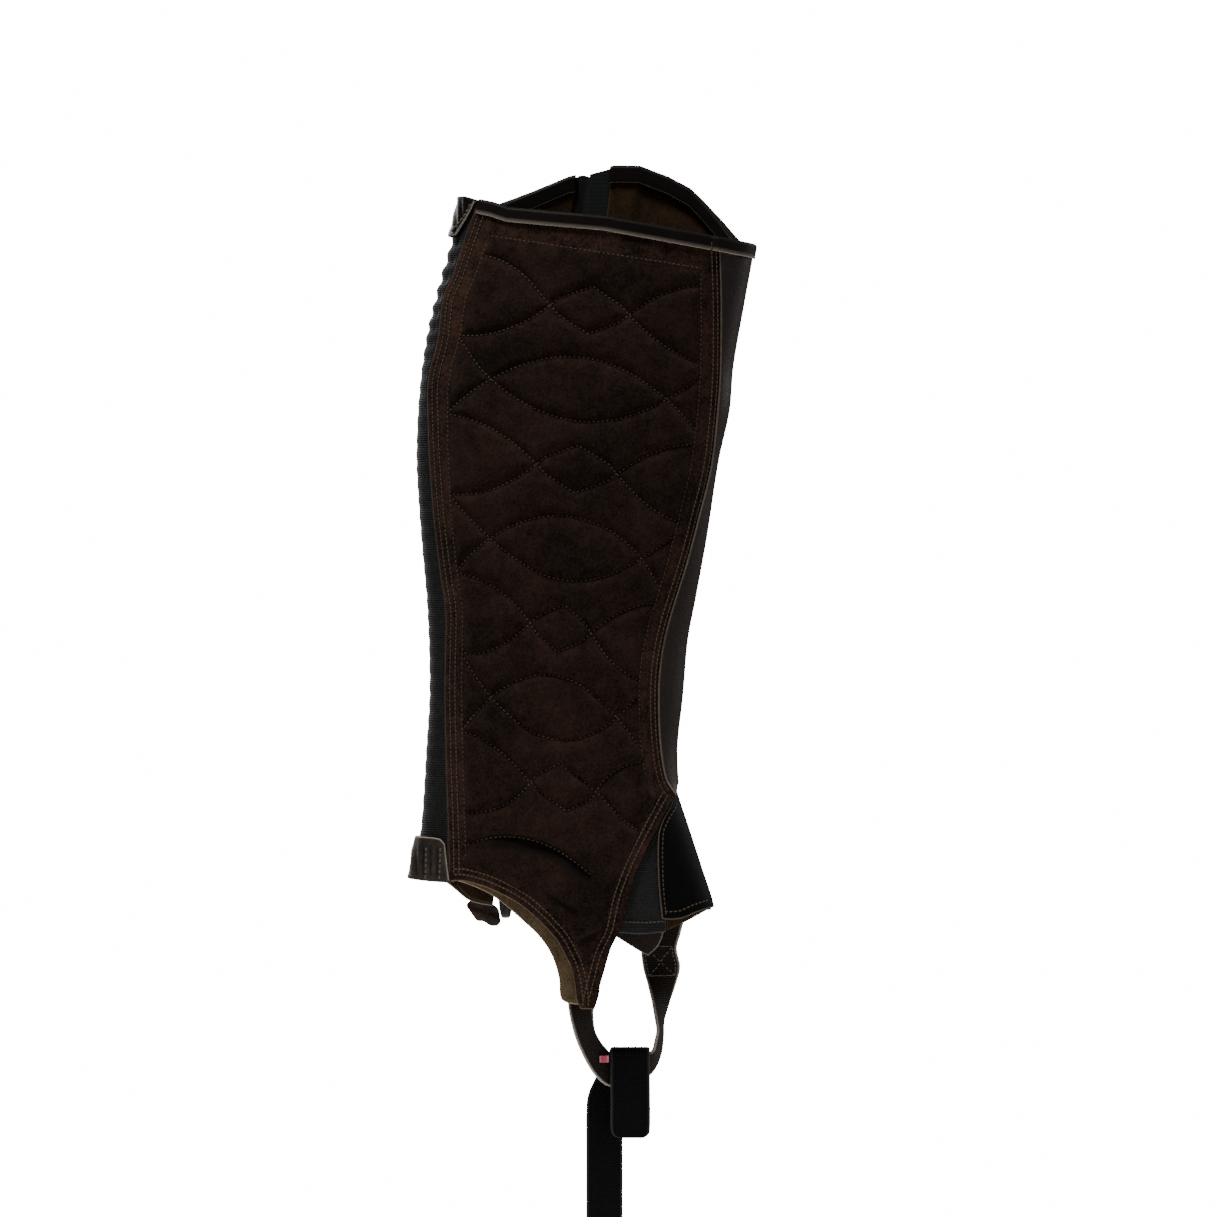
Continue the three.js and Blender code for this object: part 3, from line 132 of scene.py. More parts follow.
def patch(left, right, top, bottom, cell=1.4):
    """Coons patch on the leg: the ruled surfaces between opposite edges added, less the bilinear
    one through the corners. Gives angle, down and each point's distance to the rim."""
    wide = max(length_of(top), length_of(bottom))
    tall = max(length_of(left), length_of(right))

    def steps(size):
        """Even steps of about one cell, with two close ones at each end for the rounded edge."""
        middle = np.linspace(0.8, size - 0.8, max(int(size / cell), 2) + 1)
        return np.r_[0, 0.25, middle, size - 0.25, size]

    across, drop = steps(wide), steps(tall)
    u, t = (across / wide)[None, :, None], (drop / tall)[:, None, None]
    lf, rt = spread(left, drop / tall)[:, None], spread(right, drop / tall)[:, None]
    tp, bt = spread(top, across / wide)[None], spread(bottom, across / wide)[None]
    corners = (1 - u) * ((1 - t) * tp[:, :1] + t * bt[:, :1])
    corners = corners + u * ((1 - t) * tp[:, -1:] + t * bt[:, -1:])
    grid = (1 - u) * lf + u * rt + (1 - t) * tp + t * bt - corners
    rim = np.minimum(
        np.minimum(across, wide - across)[None], np.minimum(drop, tall - drop)[:, None]
    )
    return grid[..., 0], grid[..., 1], rim


def piece(name, points, faces, material, **marks):
    """Object from points in millimetres and faces, smooth, riding on the chap's one body. Each
    mark is a number for every point that a material reads."""
    mesh = bpy.data.meshes.new(name)
    mesh.from_pydata((np.asarray(points) / 1000).tolist(), [], np.asarray(faces).tolist())
    for mark, values in marks.items():
        values = np.broadcast_to(values, len(points)).astype(np.float32)
        mesh.attributes.new(mark, "FLOAT", "POINT").data.foreach_set("value", values)
    mesh.polygons.foreach_set("use_smooth", np.ones(len(mesh.polygons), bool))
    mesh.materials.append(material)
    mesh.update()
    made = bpy.data.objects.new(name, mesh)
    bpy.context.scene.collection.objects.link(made)
    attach(made, "root")
    return made


def grid_faces(rows, columns):
    """Four-sided faces between the neighbours of a grid, and the numbers of its points."""
    at = np.arange(rows * columns).reshape(rows, columns)
    quads = np.stack([at[:-1, :-1], at[1:, :-1], at[1:, 1:], at[:-1, 1:]], -1)
    return quads.reshape(-1, 4), at


def skin(name, grid, over, under, material, raw=1.0, **marks):
    """Closed sheet over a patch of the leg: a front face `over` and a back face `under` off the
    form, drawn together at the rim so that its cut edge is rounded. `raw` is how bare that edge
    is, from 0 where it is folded in."""
    angle, down, rim = grid
    tuck = np.interp(rim, [0, 0.25, 0.8], [0.35, 0.8, 1])
    over, under = over + 0 * rim, under + 0 * rim
    middle, half = (over + under) / 2, (over - under) / 2 * tuck
    place, normal = leg(angle, down), outward(angle, down)
    front = place + normal * (middle + half)[..., None]
    back = place + normal * (middle - half)[..., None]
    faces, at = grid_faces(*rim.shape)
    ring = np.r_[at[0, :-1], at[:-1, -1], at[-1, :0:-1], at[:0:-1, 0]]
    after, count = np.roll(ring, -1), rim.size
    wall = np.stack([ring, after, after + count, ring + count], -1)
    points = np.concatenate([front.reshape(-1, 3), back.reshape(-1, 3)])
    marks = {k: np.tile(np.ravel(v + 0 * rim), 2) for k, v in marks.items()}
    marks["edge"] = np.tile(np.ravel(np.interp(rim, [0.1, 0.8], [1, 0]) * raw), 2)
    return piece(
        name, points, np.concatenate([faces, faces[:, ::-1] + count, wall]), material, **marks
    )


def loops(name, lines, height, material, pitch=2.4, thread=0.3, share=0.8):
    """Row of stitches along each line of the leg. Each is a short six-sided tube, `share` of the
    pitch long, that stands highest at its middle and dips into its holes; height gives how far
    off the form the leather is at (angle, down)."""
    places = []
    for line in lines:
        count = max(int(length_of(line) / pitch), 2)
        at = (np.arange(count) + 0.5) / count
        ends = [spread(line, np.clip(at + side * 0.5 / count, 0, 1)) for side in (-1, 0, 1)]
        places.append(np.stack(ends, 0))
    a, b, c = np.concatenate(places, 1)
    along = leg(c[:, 0], c[:, 1]) - leg(a[:, 0], a[:, 1])
    along /= np.linalg.norm(along, axis=1, keepdims=True)
    out = outward(b[:, 0], b[:, 1])
    centre = leg(b[:, 0], b[:, 1]) + out * np.ravel(height(b[:, 0], b[:, 1]) + 0 * b[:, 0])[:, None]
    return tubes(name, centre, along, out, material, pitch * share / 2, thread)


def tubes(name, centre, along, out, material, half, thread):
    """Stitches at centres with their directions: four rings of six points on each."""
    beside = np.cross(out, along)
    station = np.array([-1, -0.55, 0.55, 1]) * half
    rise, size = np.array([-0.3, 0.12, 0.12, -0.3]), np.array([0.55, 1, 1, 0.55]) * thread
    turn = np.arange(6) * np.pi / 3
    shape = np.stack(
        [
            station[:, None] + 0 * turn,
            size[:, None] * np.cos(turn) * 1.15,
            rise[:, None] + size[:, None] * np.sin(turn),
        ],
        -1,
    ).reshape(-1, 3)
    axes = np.stack([along, beside, out], 1)
    points = centre[:, None] + np.einsum("pk,ikj->ipj", shape, axes)
    ring = np.arange(6)
    sides = [[r * 6 + ring, r * 6 + (ring + 1) % 6] for r in range(4)]
    quads = [np.stack([a[0], b[0], b[1], a[1]], -1) for a, b in zip(sides, sides[1:])]
    caps = np.array([[0, 1, 2, 3], [0, 3, 4, 5], [18, 21, 20, 19], [18, 23, 22, 21]])
    faces = np.concatenate([*quads, caps])
    faces = (np.arange(len(centre)) * 24)[:, None, None] + faces
    return piece(name, points.reshape(-1, 3), faces.reshape(-1, 4), material)


def put(tree, kind, inputs=(), **settings):
    """Adds a shader node, with values or other nodes' sockets for its inputs."""
    made = tree.nodes.new("ShaderNode" + kind)
    for key, value in settings.items():
        setattr(made, key, value)
    for key, value in dict(inputs).items():
        if isinstance(value, bpy.types.NodeSocket):
            tree.links.new(value, made.inputs[key])
        else:
            made.inputs[key].default_value = value
    return made


def group(name, inputs, outputs):
    """Shader node group with named inputs and outputs, and the sockets inside it."""
    made = bpy.data.node_groups.new(name, "ShaderNodeTree")
    for key, value in inputs.items():
        socket = made.interface.new_socket(key, in_out="INPUT", socket_type="NodeSocketFloat")
        socket.default_value = value
    for key, kind in outputs.items():
        made.interface.new_socket(key, in_out="OUTPUT", socket_type="NodeSocket" + kind)
    return made, made.nodes.new("NodeGroupInput").outputs, made.nodes.new("NodeGroupOutput")


def sums(tree, *terms):
    """Socket of the weighted sum of (socket, weight) terms."""
    total = put(tree, "Math", {0: terms[0][0], 1: terms[0][1]}, operation="MULTIPLY").outputs[0]
    for socket, weight in terms[1:]:
        total = put(
            tree, "Math", {0: socket, 1: weight, 2: total}, operation="MULTIPLY_ADD"
        ).outputs[0]
    return total


def ranged(tree, socket, low, high, to_low=0.0, to_high=1.0):
    """Socket of a value moved in a straight line from one range to another, and held there."""
    inputs = {0: socket, 1: low, 2: high, 3: to_low, 4: to_high}
    return put(tree, "MapRange", inputs).outputs[0]


def blend(tree, share, a, b):
    """Socket of colour a turning to colour b."""
    return put(tree, "Mix", {0: share, 6: a, 7: b}, data_type="RGBA").outputs[2]


def mark(tree, name):
    """Socket of the number that a piece gives each of its points."""
    return put(tree, "Attribute", attribute_name=name).outputs["Fac"]


def paint(red, green, blue):
    """Linear colour of an sRGB one given from 0 to 255."""
    c = np.array([red, green, blue]) / 255
    return (*np.where(c < 0.04045, c / 12.92, ((c + 0.055) / 1.055) ** 2.4), 1.0)


def finish(name, **constants):
    """New material with a Principled shader whose constants are set."""
    made = bpy.data.materials.new(name)
    made.use_nodes = True
    tree = made.node_tree
    shader = tree.nodes["Principled BSDF"]
    sockets = {socket.name.lower().replace(" ", "_"): socket for socket in shader.inputs}
    for key, value in constants.items():
        sockets[key].default_value = value
    return made, tree, shader


BUMP_DEPTH = 0.0004


def wear(tree, shader, colour, roughness, height, strength):
    """Joins colour, roughness and a bump of the height to the shader."""
    tree.links.new(colour, shader.inputs["Base Color"])
    tree.links.new(roughness, shader.inputs["Roughness"])
    inputs = {"Strength": strength, "Distance": BUMP_DEPTH, "Height": height}
    tree.links.new(put(tree, "Bump", inputs).outputs[0], shader.inputs["Normal"])


def mottled(name, dark, light, scale, rough, strength, detail=2.0, **constants):
    """Two colours and a range of roughness over one noise, which also raises a fine bump."""
    made, tree, shader = finish(name, **constants)
    place = put(tree, "TexCoord").outputs["Object"]
    noise = put(tree, "TexNoise", {"Vector": place, "Scale": scale, "Detail": detail}).outputs[0]
    colour = blend(tree, noise, dark, light)
    wear(tree, shader, colour, ranged(tree, noise, *rough), noise, strength)
    return made


# Nap of suede and brushed lining: large blotches, brush marks and single fibres.
nap, nap_in, nap_out = group(
    "nap", {"Blotch": 26.0, "Brush": 170.0, "Fibre": 800.0}, {"Tone": "Float", "Height": "Float"}
)
where = put(nap, "TexCoord").outputs["Object"]
blotch, brush, fibre = (
    put(nap, "TexNoise", {"Vector": where, "Scale": nap_in[k], "Detail": d, "Roughness": 0.6})
    for k, d in (("Blotch", 4.0), ("Brush", 4.0), ("Fibre", 2.0))
)
noises = [n.outputs[0] for n in (blotch, brush, fibre)]
nap.links.new(sums(nap, (noises[0], 0.34), (noises[1], 0.28), (noises[2], 0.38)), nap_out.inputs[0])
nap.links.new(sums(nap, (noises[1], 0.45), (noises[2], 0.55)), nap_out.inputs[1])


def napped(name, dark, light, edge, strength=0.5, contrast=(0.38, 0.62)):
    """Napped leather or brushed cloth: two tones over the nap, painted shade where a piece's groove
    mark is high, and a paler cut edge.
    """
    made, tree, shader = finish(
        name,
        specular_ior_level=0.08,
        sheen_weight=0.14,
        sheen_roughness=0.6,
        sheen_tint=paint(232, 202, 186),
    )
    fur = put(tree, "Group", node_tree=nap)
    tone = ranged(tree, fur.outputs["Tone"], *contrast)
    colour = blend(tree, tone, paint(*dark), paint(*light))
    # Painted shade: where a piece's groove mark is high, the colour turns near black.
    colour = blend(tree, mark(tree, "groove"), colour, paint(9, 6, 5))
    colour = blend(tree, sums(tree, (mark(tree, "edge"), 0.8)), colour, paint(*edge))
    rough = ranged(tree, tone, 0, 1, 0.95, 0.83)
    wear(tree, shader, colour, rough, fur.outputs["Height"], strength)
    return made


suede = napped(
    "suede", (16, 9, 7), (82, 56, 45), (150, 126, 106), strength=1, contrast=(0.4, 0.62)
)
thread = mottled(
    "seam_thread", paint(54, 44, 36), paint(122, 104, 86), 1800, (0, 1, 0.6, 0.8), 0.4,
    specular_ior_level=0.3,
)

NEAR_TOP = [  # the top edge on the inner side, and then on the outer side
    (-156, -4.7), (-69.7, -4.7), (-64.5, -3.1), (-55.1, -0.8), (-46.8, 2.1), (-26.5, 4.2),
    (2.6, 6.8), (35.9, 12.8), (67.1, 18.2), (80.6, 20.3), (156, 22.4),
]
FAR_TOP = [
    (-156, -4.7), (-69.7, -4.2), (-62.4, -2.1), (-55.1, -1), (-36.4, -8.3), (-16.3, -16.8),
    (-5.2, -19.2), (4.2, -21.7), (7.3, -22.6), (20.8, -22.4), (35.9, -16.6), (47.3, -10.4),
    (53.6, -4.2), (62.9, 6.2), (71.8, 17.2), (80.6, 20.3), (156, 22.4),
]
TUCK = 1.4  # how far the pieces end below the top edges, inside the binding


def top_at(angle, drop=TUCK):
    """Height of the top edge at an angle, found by stepping: the edge's height at the place
    across that the last height gives."""
    down = np.zeros_like(angle)
    for _ in range(8):
        x = leg(angle, down)[..., 0]
        near, far = (np.interp(x, *np.transpose(rows)) for rows in (NEAR_TOP, FAR_TOP))
        down = np.where(np.sin(angle) < 0, near, far)
    return down + drop


def top_run(start, end, drop=TUCK):
    """Line along the top edge between two angles."""
    angle = np.linspace(start, end, 240)
    return np.c_[angle, top_at(angle, drop)]


def hung(left, right, bottom, drop=TUCK):
    """Four edges of a piece that hangs from the top edge: left, right, top and bottom."""
    return left, right, top_run(left[0, 0], right[0, 0], drop), bottom


PANEL_REAR = [
    (-63.3, -1.5), (-67.3, 9.4), (-70.2, 17.7), (-76.4, 36.4), (-81.6, 48.9), (-84.2, 69.7),
    (-88.4, 86.3), (-89.7, 96.7), (-89.4, 111.8), (-88.9, 126.9), (-86.3, 162.8), (-82.7, 192.4),
    (-80.1, 210.6), (-80.1, 226.2), (-80.6, 250.1), (-80.1, 278.2), (-79.6, 298), (-78.5, 333.8),
    (-78.5, 351),
]
PANEL_FRONT = [
    (67.1, 19.6), (67.1, 26), (67.6, 46.8), (67.6, 64.5), (67.1, 91), (65, 114.9), (61.9, 138.8),
    (55.6, 164.8), (49.9, 186.7), (40.8, 216.3), (36.9, 234), (35.4, 252.2), (35.9, 277.7),
    (37.6, 295), (38.2, 307.8),
]
PANEL_LOWER_REAR = [
    (-78.5, 351), (-71.2, 350.8), (-65.5, 352), (-58.8, 354.1), (-49.4, 358.3), (-40.6, 363.5),
    (-33.3, 369.7), (-27.6, 375.4), (-21.8, 382.2), (-18.2, 389), (-15.1, 395.7), (-13, 405.1),
    (-12, 413.4), (-9.9, 417.6),
]
PANEL_LOWER_FRONT = [
    (-2.7, 417.6), (-2.6, 413.9), (-1.3, 408.2), (3.6, 390), (9.4, 377.5), (13.5, 359.8),
    (20.3, 342.2), (28.6, 325.5), (36.9, 309.9), (38.2, 307.8),
]
SHELL_SEAM = [
    (61.4, 18.6), (61.4, 26), (61.9, 46.8), (61.9, 64.5), (61.4, 91), (59.5, 114.9), (56.2, 138.8),
    (49.9, 164.8), (44.2, 186.7), (35.1, 216.3), (31.2, 234), (29.6, 252.2), (30.2, 277.7),
    (33.3, 298), (38.5, 306.8),
]
PANEL_BACK = -2.5  # hidden face of the suede, off the leg form; its front is the form itself
QUILT_REPEAT, QUILT_FIRST = 82.16, 55.64  # height of one repeat, and of the first diamond
QUILT_MIDDLE, QUILT_SLANT = 0.53, 0.18  # share across of the points, fall towards the front
QUILT_PUFF, QUILT_SINK = 1.75, 0.6  # over and under the flat margin
LAST_ARC_END = 0.66  # share across where the last arc stops
SEAM_ROWS = (2.9, 5.6)  # stitch rows' distances from the rear edge
MARGIN_FOOT = 351  # height where the rear edge ends
lower_rear, lower_front = flow(PANEL_LOWER_REAR), flow(PANEL_LOWER_FRONT)


def line_at(rows, down):
    """Place across of a line of (across, down) at a height."""
    x, y = np.asarray(rows, float).T
    return np.interp(down, y, x)


def frame_sides(down):
    """Rear and front line of the quilting's frame at a height."""
    rear = line_at(PANEL_REAR, down) + np.interp(down, [0, 180], [13.4, 9.1])
    return rear, line_at(SHELL_SEAM, down) - 9.6


def frame_top(x):
    """Height of the frame's slanting top line."""
    return 17.2 + (x + 56.7) * 0.154


def above_edge(x, down, inset):
    """Distance up from the panel's lower edge, less an inset, and negative below the edge."""
    rows = np.array(PANEL_LOWER_REAR + PANEL_LOWER_FRONT)
    s = np.linspace(0, len(rows) - 1, 160)
    line = np.c_[[np.interp(s, np.arange(len(rows)), rows[:, k]) for k in (0, 1)]].T
    near = np.full(np.shape(x), 99.0)
    for across, low in line:
        near = np.minimum(near, np.hypot(x - across, down - low))
    edge = np.interp(x, rows[:, 0], rows[:, 1])
    return np.where(down < edge, near, -near) - inset


def inside_frame(x, down):
    """Distance inwards from the quilting's frame: its two sides, its slanting top line and the
    seam rows along the two lower edges."""
    rear, front = frame_sides(down)
    near = np.minimum(np.minimum(x - rear, front - x), down - frame_top(x))
    return np.where(down > 290, np.minimum(near, above_edge(x, down, 8)), near)


def arm(s):
    """Half height of a diamond at a share across, in repeats: a bow near the side and a straight
    arm to its point, mirrored about the middle. Below 0 the two arms have crossed."""
    mirror = np.where(s < QUILT_MIDDLE, s, 2 * QUILT_MIDDLE - s)
    return np.where(mirror < 0.4, 0.25 - 1.9 * mirror**2, -0.054 - (mirror - 0.4) * 0.74)


LENSES = range(3)  # one to a repeat


def bow(s):
    """How far a lens has closed at a share across, in repeats: a parabola about its middle."""
    return 1.6 * (s - 0.52) ** 2


def last_arc(s):
    """Height of the last, shallower arc, in repeats from the first diamond."""
    return 3.36 + 1.25 * (s - 0.29) ** 2


# Creases towards the point: each one's height, its middle across, its slope and its depth.
FOOT_CREASES = [(378, -2, -0.45, 1.2), (391, -3, -0.5, 1.3), (362, -20, 0.55, 1.0)]


def quilting(x, down):
    """Height over the flat margin, and how far the nap's colour is darkened. The height falls to
    nothing at a seam as one minus the exponential of the distance, which is the least one to the
    lenses, the diamonds, the last arc and the frame. Slack is a product of two slanting waves, and
    each crease is a bell across its line that fades along it. The nap is darker than the margin's
    all over, and darkest in a crease, where the darkening is painted shade."""
    rear, front = frame_sides(down)
    s = (x - rear) / (front - rear)
    v = (down - QUILT_FIRST) / QUILT_REPEAT - QUILT_SLANT * (s - QUILT_MIDDLE)
    steep = QUILT_REPEAT / (front - rear)
    bend = QUILT_REPEAT / np.hypot(1, 3.2 * (s - 0.52) * steep)
    mirror = np.where(s < QUILT_MIDDLE, s, 2 * QUILT_MIDDLE - s)
    tilt = QUILT_REPEAT / np.hypot(1, np.where(mirror < 0.4, 3.8 * mirror, 0.74) * steep)
    shallow = QUILT_REPEAT / np.hypot(1, 2.5 * (s - 0.29) * steep)
    lens, diamond = v - np.floor(v), v - np.round(v)
    whole, above = (v > 0) & (v < len(LENSES)), v < len(LENSES) + 0.5
    seam = np.minimum.reduce(
        [
            np.where(whole, np.abs(lens - 0.3 - bow(s)) * bend, 99),
            np.where(whole, np.abs(lens - 0.7 + bow(s)) * bend, 99),
            np.where(s < LAST_ARC_END, np.abs(v - last_arc(s)) * shallow, 99),
            np.where(above, np.abs(diamond - arm(s)) * tilt, 99),
            np.where(above, np.abs(diamond + arm(s)) * tilt, 99),
        ]
    )
    inside = inside_frame(x, down)
    seam = np.where(inside > 0, np.minimum(seam, inside + 0.6), 0)
    low = np.clip((down - 170) / 120, 0, 1)
    slack = np.sin(x * 0.21 + down * 0.13) * np.sin(x * 0.11 - down * 0.19) - 0.25
    slack = (0.3 + 0.6 * low) * slack + 0.5 * low
    under = (v - last_arc(s) - 0.035) * QUILT_REPEAT
    crease = 2.1 * np.exp(-((under / 3.4) ** 2) - ((s - 0.40) / 0.26) ** 4)
    for place, at, slope, deep in FOOT_CREASES:
        off = down - place - slope * (x - at)
        crease = crease + deep * np.exp(-((off / 2.0) ** 2) - ((x - at) / 9) ** 4)
    crease = crease * np.clip(inside / 3, 0, 1)
    pucker = 0.12 * np.sin(x * 1.9 + down * 1.3) * np.exp(-seam / 2.5)
    full = 1 - np.exp(-((seam / 2.6) ** 1.15))
    height = full * (QUILT_PUFF + QUILT_SINK + slack) + pucker * np.clip(seam, 0, 1)
    height = height - QUILT_SINK * np.clip(inside / 1.2, 0, 1) - crease
    # Darker by half over the whole padded area, and painted shade that turns the nap fully dark in
    # a crease.
    darkening_and_shade = 0.5 + 0.5 * np.clip(crease, 0, 1)
    return np.where(inside > 0, height, 0), np.where(inside > 0, darkening_and_shade, 0)


def panel_height(x, down):
    """The quilting with how far its nap's colour is darkened, and a shallow groove along each row
    of seam stitches on the margins, which is darkened with painted shade."""
    height, darkening_and_shade = quilting(x, down)
    rear = x - line_at(PANEL_REAR, down)
    for row in SEAM_ROWS:
        groove = np.exp(-(((rear - row) / 0.6) ** 2)) * (down < MARGIN_FOOT)
        # The darkening along each stitch groove is painted shade.
        height, darkening_and_shade = height - 0.28 * groove, darkening_and_shade + 0.3 * groove
    return height, darkening_and_shade


panel_edges = (
    flow(PANEL_REAR, count=400),
    flow(PANEL_FRONT, count=400),
    top_run(angle_at(-63.3, -1.5, -1), angle_at(67.1, 19.6, -1)),
    np.vstack([lower_rear, lower_front]),
)
panel_grid = patch(*panel_edges, cell=0.95)
panel_x = leg(panel_grid[0], panel_grid[1])[..., 0]
panel_out, panel_darkening_and_shade = panel_height(panel_x, panel_grid[1])
# The groove mark carries this darkening and painted shade into the suede's colour.
quilted_panel = skin("suede_panel", panel_grid, panel_out, PANEL_BACK, suede, groove=panel_darkening_and_shade)
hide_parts("quilted_panel")


def quilt_lines():
    """Seams of the quilting as lines of (angle, down), each cut to the frame."""
    s, found = np.linspace(0, 1, 420), []
    values = [k + side * arm(s) for k in range(len(LENSES) + 1) for side in (-1, 1)]
    values += [k + half for k in LENSES for half in (0.3 + bow(s), 0.7 - bow(s))]
    values += [np.where(s < LAST_ARC_END, last_arc(s), 99)]
    for value in values:
        down = QUILT_FIRST + (value + QUILT_SLANT * (s - QUILT_MIDDLE)) * QUILT_REPEAT
        rear, front = frame_sides(down)
        x = rear + s * (front - rear)
        keep = inside_frame(x, down) > 0.3
        cuts = np.flatnonzero(np.diff(keep.astype(int))) + 1
        for part in np.split(np.arange(len(s)), cuts):
            if keep[part[0]] and len(part) > 30:
                found.append(np.c_[angle_at(x[part], down[part], -1), down[part]])
    return found


def frame_lines():
    """The frame's rear, front and top line as (angle, down)."""
    down = np.linspace(21, 345, 300)
    rear, front = frame_sides(down)
    x = np.linspace(-56.7, 51.3, 120)
    top = frame_top(x)
    return [
        np.c_[angle_at(rear, down, -1), down][:-6],
        np.c_[angle_at(front, down, -1), down][14:255],
        np.c_[angle_at(x, top, -1), top],
    ]


def inset_line(rows, inset, first, last, side=-1):
    """Line beside rows of (across, down): each point moved `inset` to the left of its run, cut to
    a share of the length, and given back as (angle, down) on one side of the leg."""
    rows, count = np.asarray(rows, float), 400
    s = np.linspace(0, len(rows) - 1, count)
    p = np.c_[[through(np.c_[np.arange(len(rows)), rows[:, k]], s) for k in (0, 1)]].T
    run = np.gradient(p, axis=0)
    run /= np.linalg.norm(run, axis=1, keepdims=True)
    p = p + inset * np.c_[run[:, 1], -run[:, 0]]
    p = p[int(first * count) : int(last * count)]
    return np.c_[angle_at(p[:, 0], p[:, 1], side), p[:, 1]]


quilt_stitches = loops("quilt_stitches", quilt_lines(), lambda a, d: -0.35, thread, share=0.62)
frame_stitches = loops("frame_stitches", frame_lines(), lambda a, d: 0.1, thread, share=0.66)
margin_rows = [inset_line(PANEL_REAR, w, 0.02, 0.985) for w in SEAM_ROWS]
margin_rows += [inset_line(PANEL_LOWER_REAR, w, 0.03, 0.93) for w in (3.4, 6.2)]
margin_rows += [inset_line(PANEL_LOWER_FRONT, w, 0.06, 0.93) for w in (3.4, 6.2)]
margin_stitches = loops(
    "margin_stitches", margin_rows, lambda a, d: 0.05, thread, pitch=2.2, thread=0.38, share=0.9
)


# Lining of the quilted panel: a thin brushed cloth glued behind the suede, in sight along the
# panel's lower rear edge.
LINING_LOWER = [
    (-77.5, 350), (-67.6, 353.1), (-57.2, 357.8), (-46.8, 365.6), (-39.5, 372.3), (-32.8, 378.6),
    (-27.6, 385.3), (-23.9, 392.6), (-21.3, 402), (-19.8, 413.4), (-10.9, 416), (-3.2, 415.6),
]


def shifted(rows, across):
    """Rows of (across, down) moved across."""
    return [(x + across, down) for x, down in rows]


olive = napped(
    "olive_lining", (54, 43, 30), (136, 116, 86), (196, 180, 152), strength=0.5, contrast=(0.3, 0.7)
)
panel_lining_edges = (
    flow(shifted(PANEL_REAR, 1.0)[:-1] + [LINING_LOWER[0]]),
    flow(shifted(PANEL_FRONT, -0.4)),
    top_run(angle_at(-62.3, -1.5, -1), angle_at(66.7, 19.6, -1)),
    np.vstack([flow(LINING_LOWER), flow(shifted(PANEL_LOWER_FRONT, -0.4))]),
)
PANEL_LINING_FACES = -2.8, -3.8
panel_lining = skin(
    "panel_lining_cloth", patch(*panel_lining_edges, cell=2.2), *PANEL_LINING_FACES, olive
)
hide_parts("panel_lining")


# Outer shell: smooth oiled leather from the suede seam round the shin to the zip, lapped over the
# suede with a raw edge and two rows of stitches, and creased over the ankle.
grain, grain_in, grain_out = group(
    "leather_grain", {"Cell": 850.0, "Blotch": 30.0}, {"Tone": "Float", "Height": "Float"}
)
where = put(grain, "TexCoord").outputs["Object"]
drift = put(grain, "TexNoise", {"Vector": where, "Scale": 300.0, "Detail": 3.0})
bent = put(
    grain, "Mix", {0: 0.004, 4: where, 5: drift.outputs["Color"]}, data_type="VECTOR"
).outputs[1]
pores = put(grain, "TexVoronoi", {"Vector": bent, "Scale": grain_in["Cell"]}).outputs["Distance"]
clouds = {"Vector": where, "Scale": grain_in["Blotch"], "Detail": 5.0, "Roughness": 0.65}
cloudy = put(grain, "TexNoise", clouds).outputs[0]
fine = put(grain, "TexNoise", {"Vector": where, "Scale": 260.0, "Detail": 4.0}).outputs[0]
grain.links.new(sums(grain, (cloudy, 0.7), (fine, 0.3)), grain_out.inputs[0])
grain.links.new(sums(grain, (pores, 0.5), (fine, 0.5)), grain_out.inputs[1])


def grained(name, dark, light, edge, roughness=0.42, strength=0.35, shine=0.42):
    """Grained leather: two tones in clouds, fine pores, painted shade in marked grooves and a pale
    raw edge.
    """
    made, tree, shader = finish(name, specular_ior_level=shine)
    hide = put(tree, "Group", node_tree=grain)
    tone = ranged(tree, hide.outputs["Tone"], 0.35, 0.65)
    colour = blend(tree, tone, paint(*dark), paint(*light))
    # Painted shade: where a piece's groove mark is high, the colour turns near black.
    colour = blend(tree, sums(tree, (mark(tree, "groove"), 0.85)), colour, paint(6, 5, 4))
    colour = blend(tree, mark(tree, "edge"), colour, paint(*edge))
    rough = ranged(tree, tone, 0, 1, roughness + 0.1, roughness)
    wear(tree, shader, colour, rough, hide.outputs["Height"], strength)
    return made


RAW_EDGE = (150, 134, 116)
HIDE_FACES = np.array([1.8, 0.35])  # front and back of the shell's leather, off the leg form
leather = grained("oiled_leather", (27, 19, 16), (56, 42, 35), RAW_EDGE)
VAMP_SEAM = [
    (40.4, 300.6), (33.6, 303.2), (26.8, 307.8), (21.1, 312.9), (16, 318), (13.7, 321.9),
    (12, 330.2), (10.9, 345.8), (10.9, 368), (9.4, 381.2),
]
SHELL_HEM = [(9.4, 381.2), (0, 379.1), (-20.8, 374.9), (-39, 371), (-44.2, 370)]


def zip_x(down):
    """Place across of the zip: a straight line from the top edge to the foot."""
    return -8.3 - 43.7 * (down + 18.2) / 385.8


def zip_side(at_top, at_foot, foot, count=120):
    """Line beside the zip on the outer side: its distance from the zip runs evenly from top to
    foot, and it starts at the top edge."""
    down = np.linspace(-24, foot, count * 2)
    x = zip_x(down) + np.interp(down, [-80, foot], [at_top, at_foot])
    angle = angle_at(x, down, 1)
    keep = down > top_at(angle)
    return np.vstack([[angle[keep][0], top_at(angle)[keep][0]], np.c_[angle, down][keep]])


